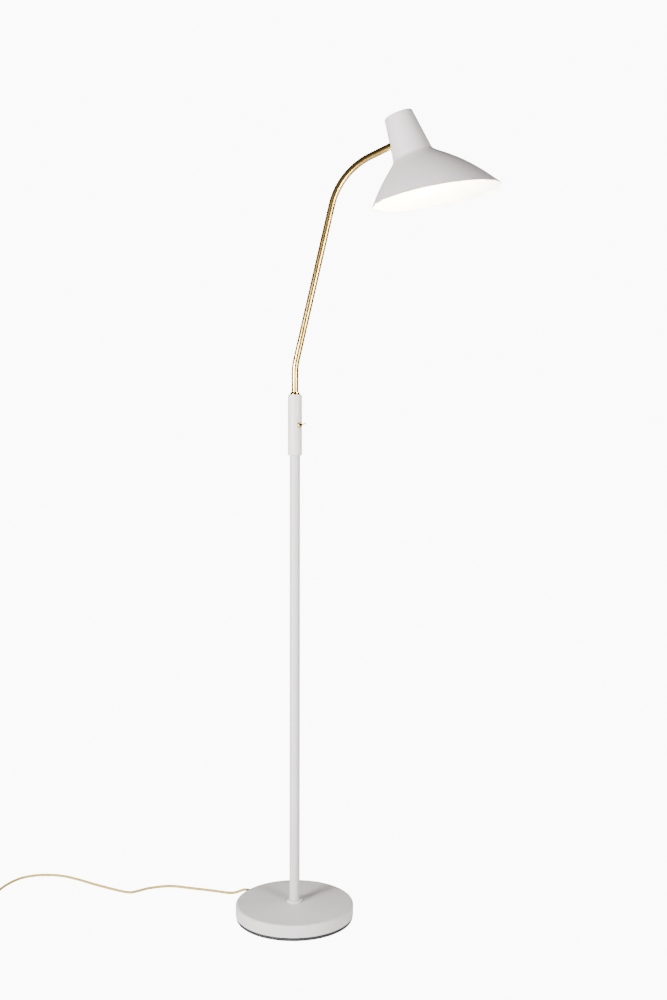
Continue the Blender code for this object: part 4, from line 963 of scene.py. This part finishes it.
# %% Plug boot
plug_low, plug_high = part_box("plug_body")
boot_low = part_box("plug_boot")[0]
PLUG_X, PLUG_Z = (plug_low.x + plug_high.x) / 2, (plug_low.z + plug_high.z) / 2
ALONG_Y = Matrix(((1, 0, 0), (0, 0, 1), (0, -1, 0))).to_4x4()
BOOT_PLACE = Matrix.Translation((PLUG_X, boot_low.y, PLUG_Z)) @ ALONG_Y
boot = [(0, 0.014), (0.0060, 0.014), (0.0056, 0.0105)]
for k in range(3):
    near = 0.0095 - 0.0028 * k
    thick = 0.0054 - 0.0006 * k
    boot += [(thick, near), (thick, near - 0.0010)]
    boot += [(thick - 0.0006, near - 0.0013), (thick - 0.0006, near - 0.0021)]
boot += [(0.0038, 0.0010), (0.0034, 0.0), (0, 0.0)]
boot_piece = link("plug_sleeve", spun(boot, 40), BLACK, BOOT_PLACE)
settle(boot_piece, "stand", "black_plastic", "plug_boot")

# %% Plug body
body_low, body_high = plug_low.y, plug_high.y
half_wide, half_rear, half_high = (plug_high.x - plug_low.x) / 2, 0.0075, (plug_high.z - plug_low.z) / 2
waist = body_low + (body_high - body_low) * 0.45
flat = [(-half_rear, body_low), (half_rear, body_low), (half_wide, waist), (half_wide, body_high)]
flat += [(-half_wide, body_high), (-half_wide, waist)]
flat = rounded(flat, (0.003, 0.003, 0.012, 0.003, 0.003, 0.012), 6)
bm = bmesh.new()
outline = bm.faces.new([bm.verts.new((PLUG_X + x, y, PLUG_Z - half_high)) for x, y in flat])
grown = bmesh.ops.extrude_face_region(bm, geom=[outline])["geom"]
upper = [item for item in grown if isinstance(item, bmesh.types.BMVert)]
bmesh.ops.translate(bm, vec=(0, 0, 2 * half_high), verts=upper)
rims = [edge for edge in bm.edges if abs(edge.verts[0].co.z - edge.verts[1].co.z) < 1e-6]
bmesh.ops.bevel(bm, geom=rims, offset=0.0022, segments=5, profile=0.5, affect="EDGES", material=-1)
plug_piece = settle(link("plug", bm, BLACK), "stand", "black_plastic", "plug_body")

# %% Plug pins
for number in (1, 2):
    low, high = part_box(f"plug_pin_{number}")
    middle = (low + high) / 2
    long, thick = high.y - low.y, (high.z - low.z) / 2
    pin = rounded([(0, long), (thick, long), (thick, 0), (0, 0)], (0, 0.0011, 0.0003, 0), 5)
    pin_place = Matrix.Translation((middle.x, low.y, middle.z)) @ ALONG_Y
    prong = link(f"plug_prong_{number}", spun(pin, 32), BRASS, pin_place)
    settle(prong, "stand", "brass", f"plug_pin_{number}")

# %% [markdown]
# ## Parts that keep their CAD shape
# The parts inside are right as they are, so each only gets its finish.

# %% Inner parts
KEPT = {
    STEEL: (
        "base_plate", "plate_screw_1", "plate_screw_2", "plate_screw_3", "base_nipple", "base_nut",
        "base_washer", "pole_insert", "sleeve_grub_screw", "stop_pin", "stop_ring", "stop_screw",
        "joint_half_arm", "joint_screw", "joint_nut", "joint_half_shade", "shade_bracket",
        "bracket_nut", "shade_stud",
    ),
    IRON: ("ballast_weight",),
    NYLON: ("lower_bush", "arm_bush", "friction_washer"),
    BLACK: ("pole_cable", "switch_case", "switch_lead", "arm_cable", "holder_lead", "cord_tie"),
    BRASS: ("switch_bushing", "holder_contact"),
}
for finish_used, names in KEPT.items():
    for name in names:
        node = frame["nodes"][name]
        node.data.materials.clear()
        node.data.materials.append(finish_used)
print("kept", sum(len(names) for names in KEPT.values()), "CAD parts")

# %% Sizes
low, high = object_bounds()
print("visual box in mm:", [round(1000 * v) for v in (*low, *high)])
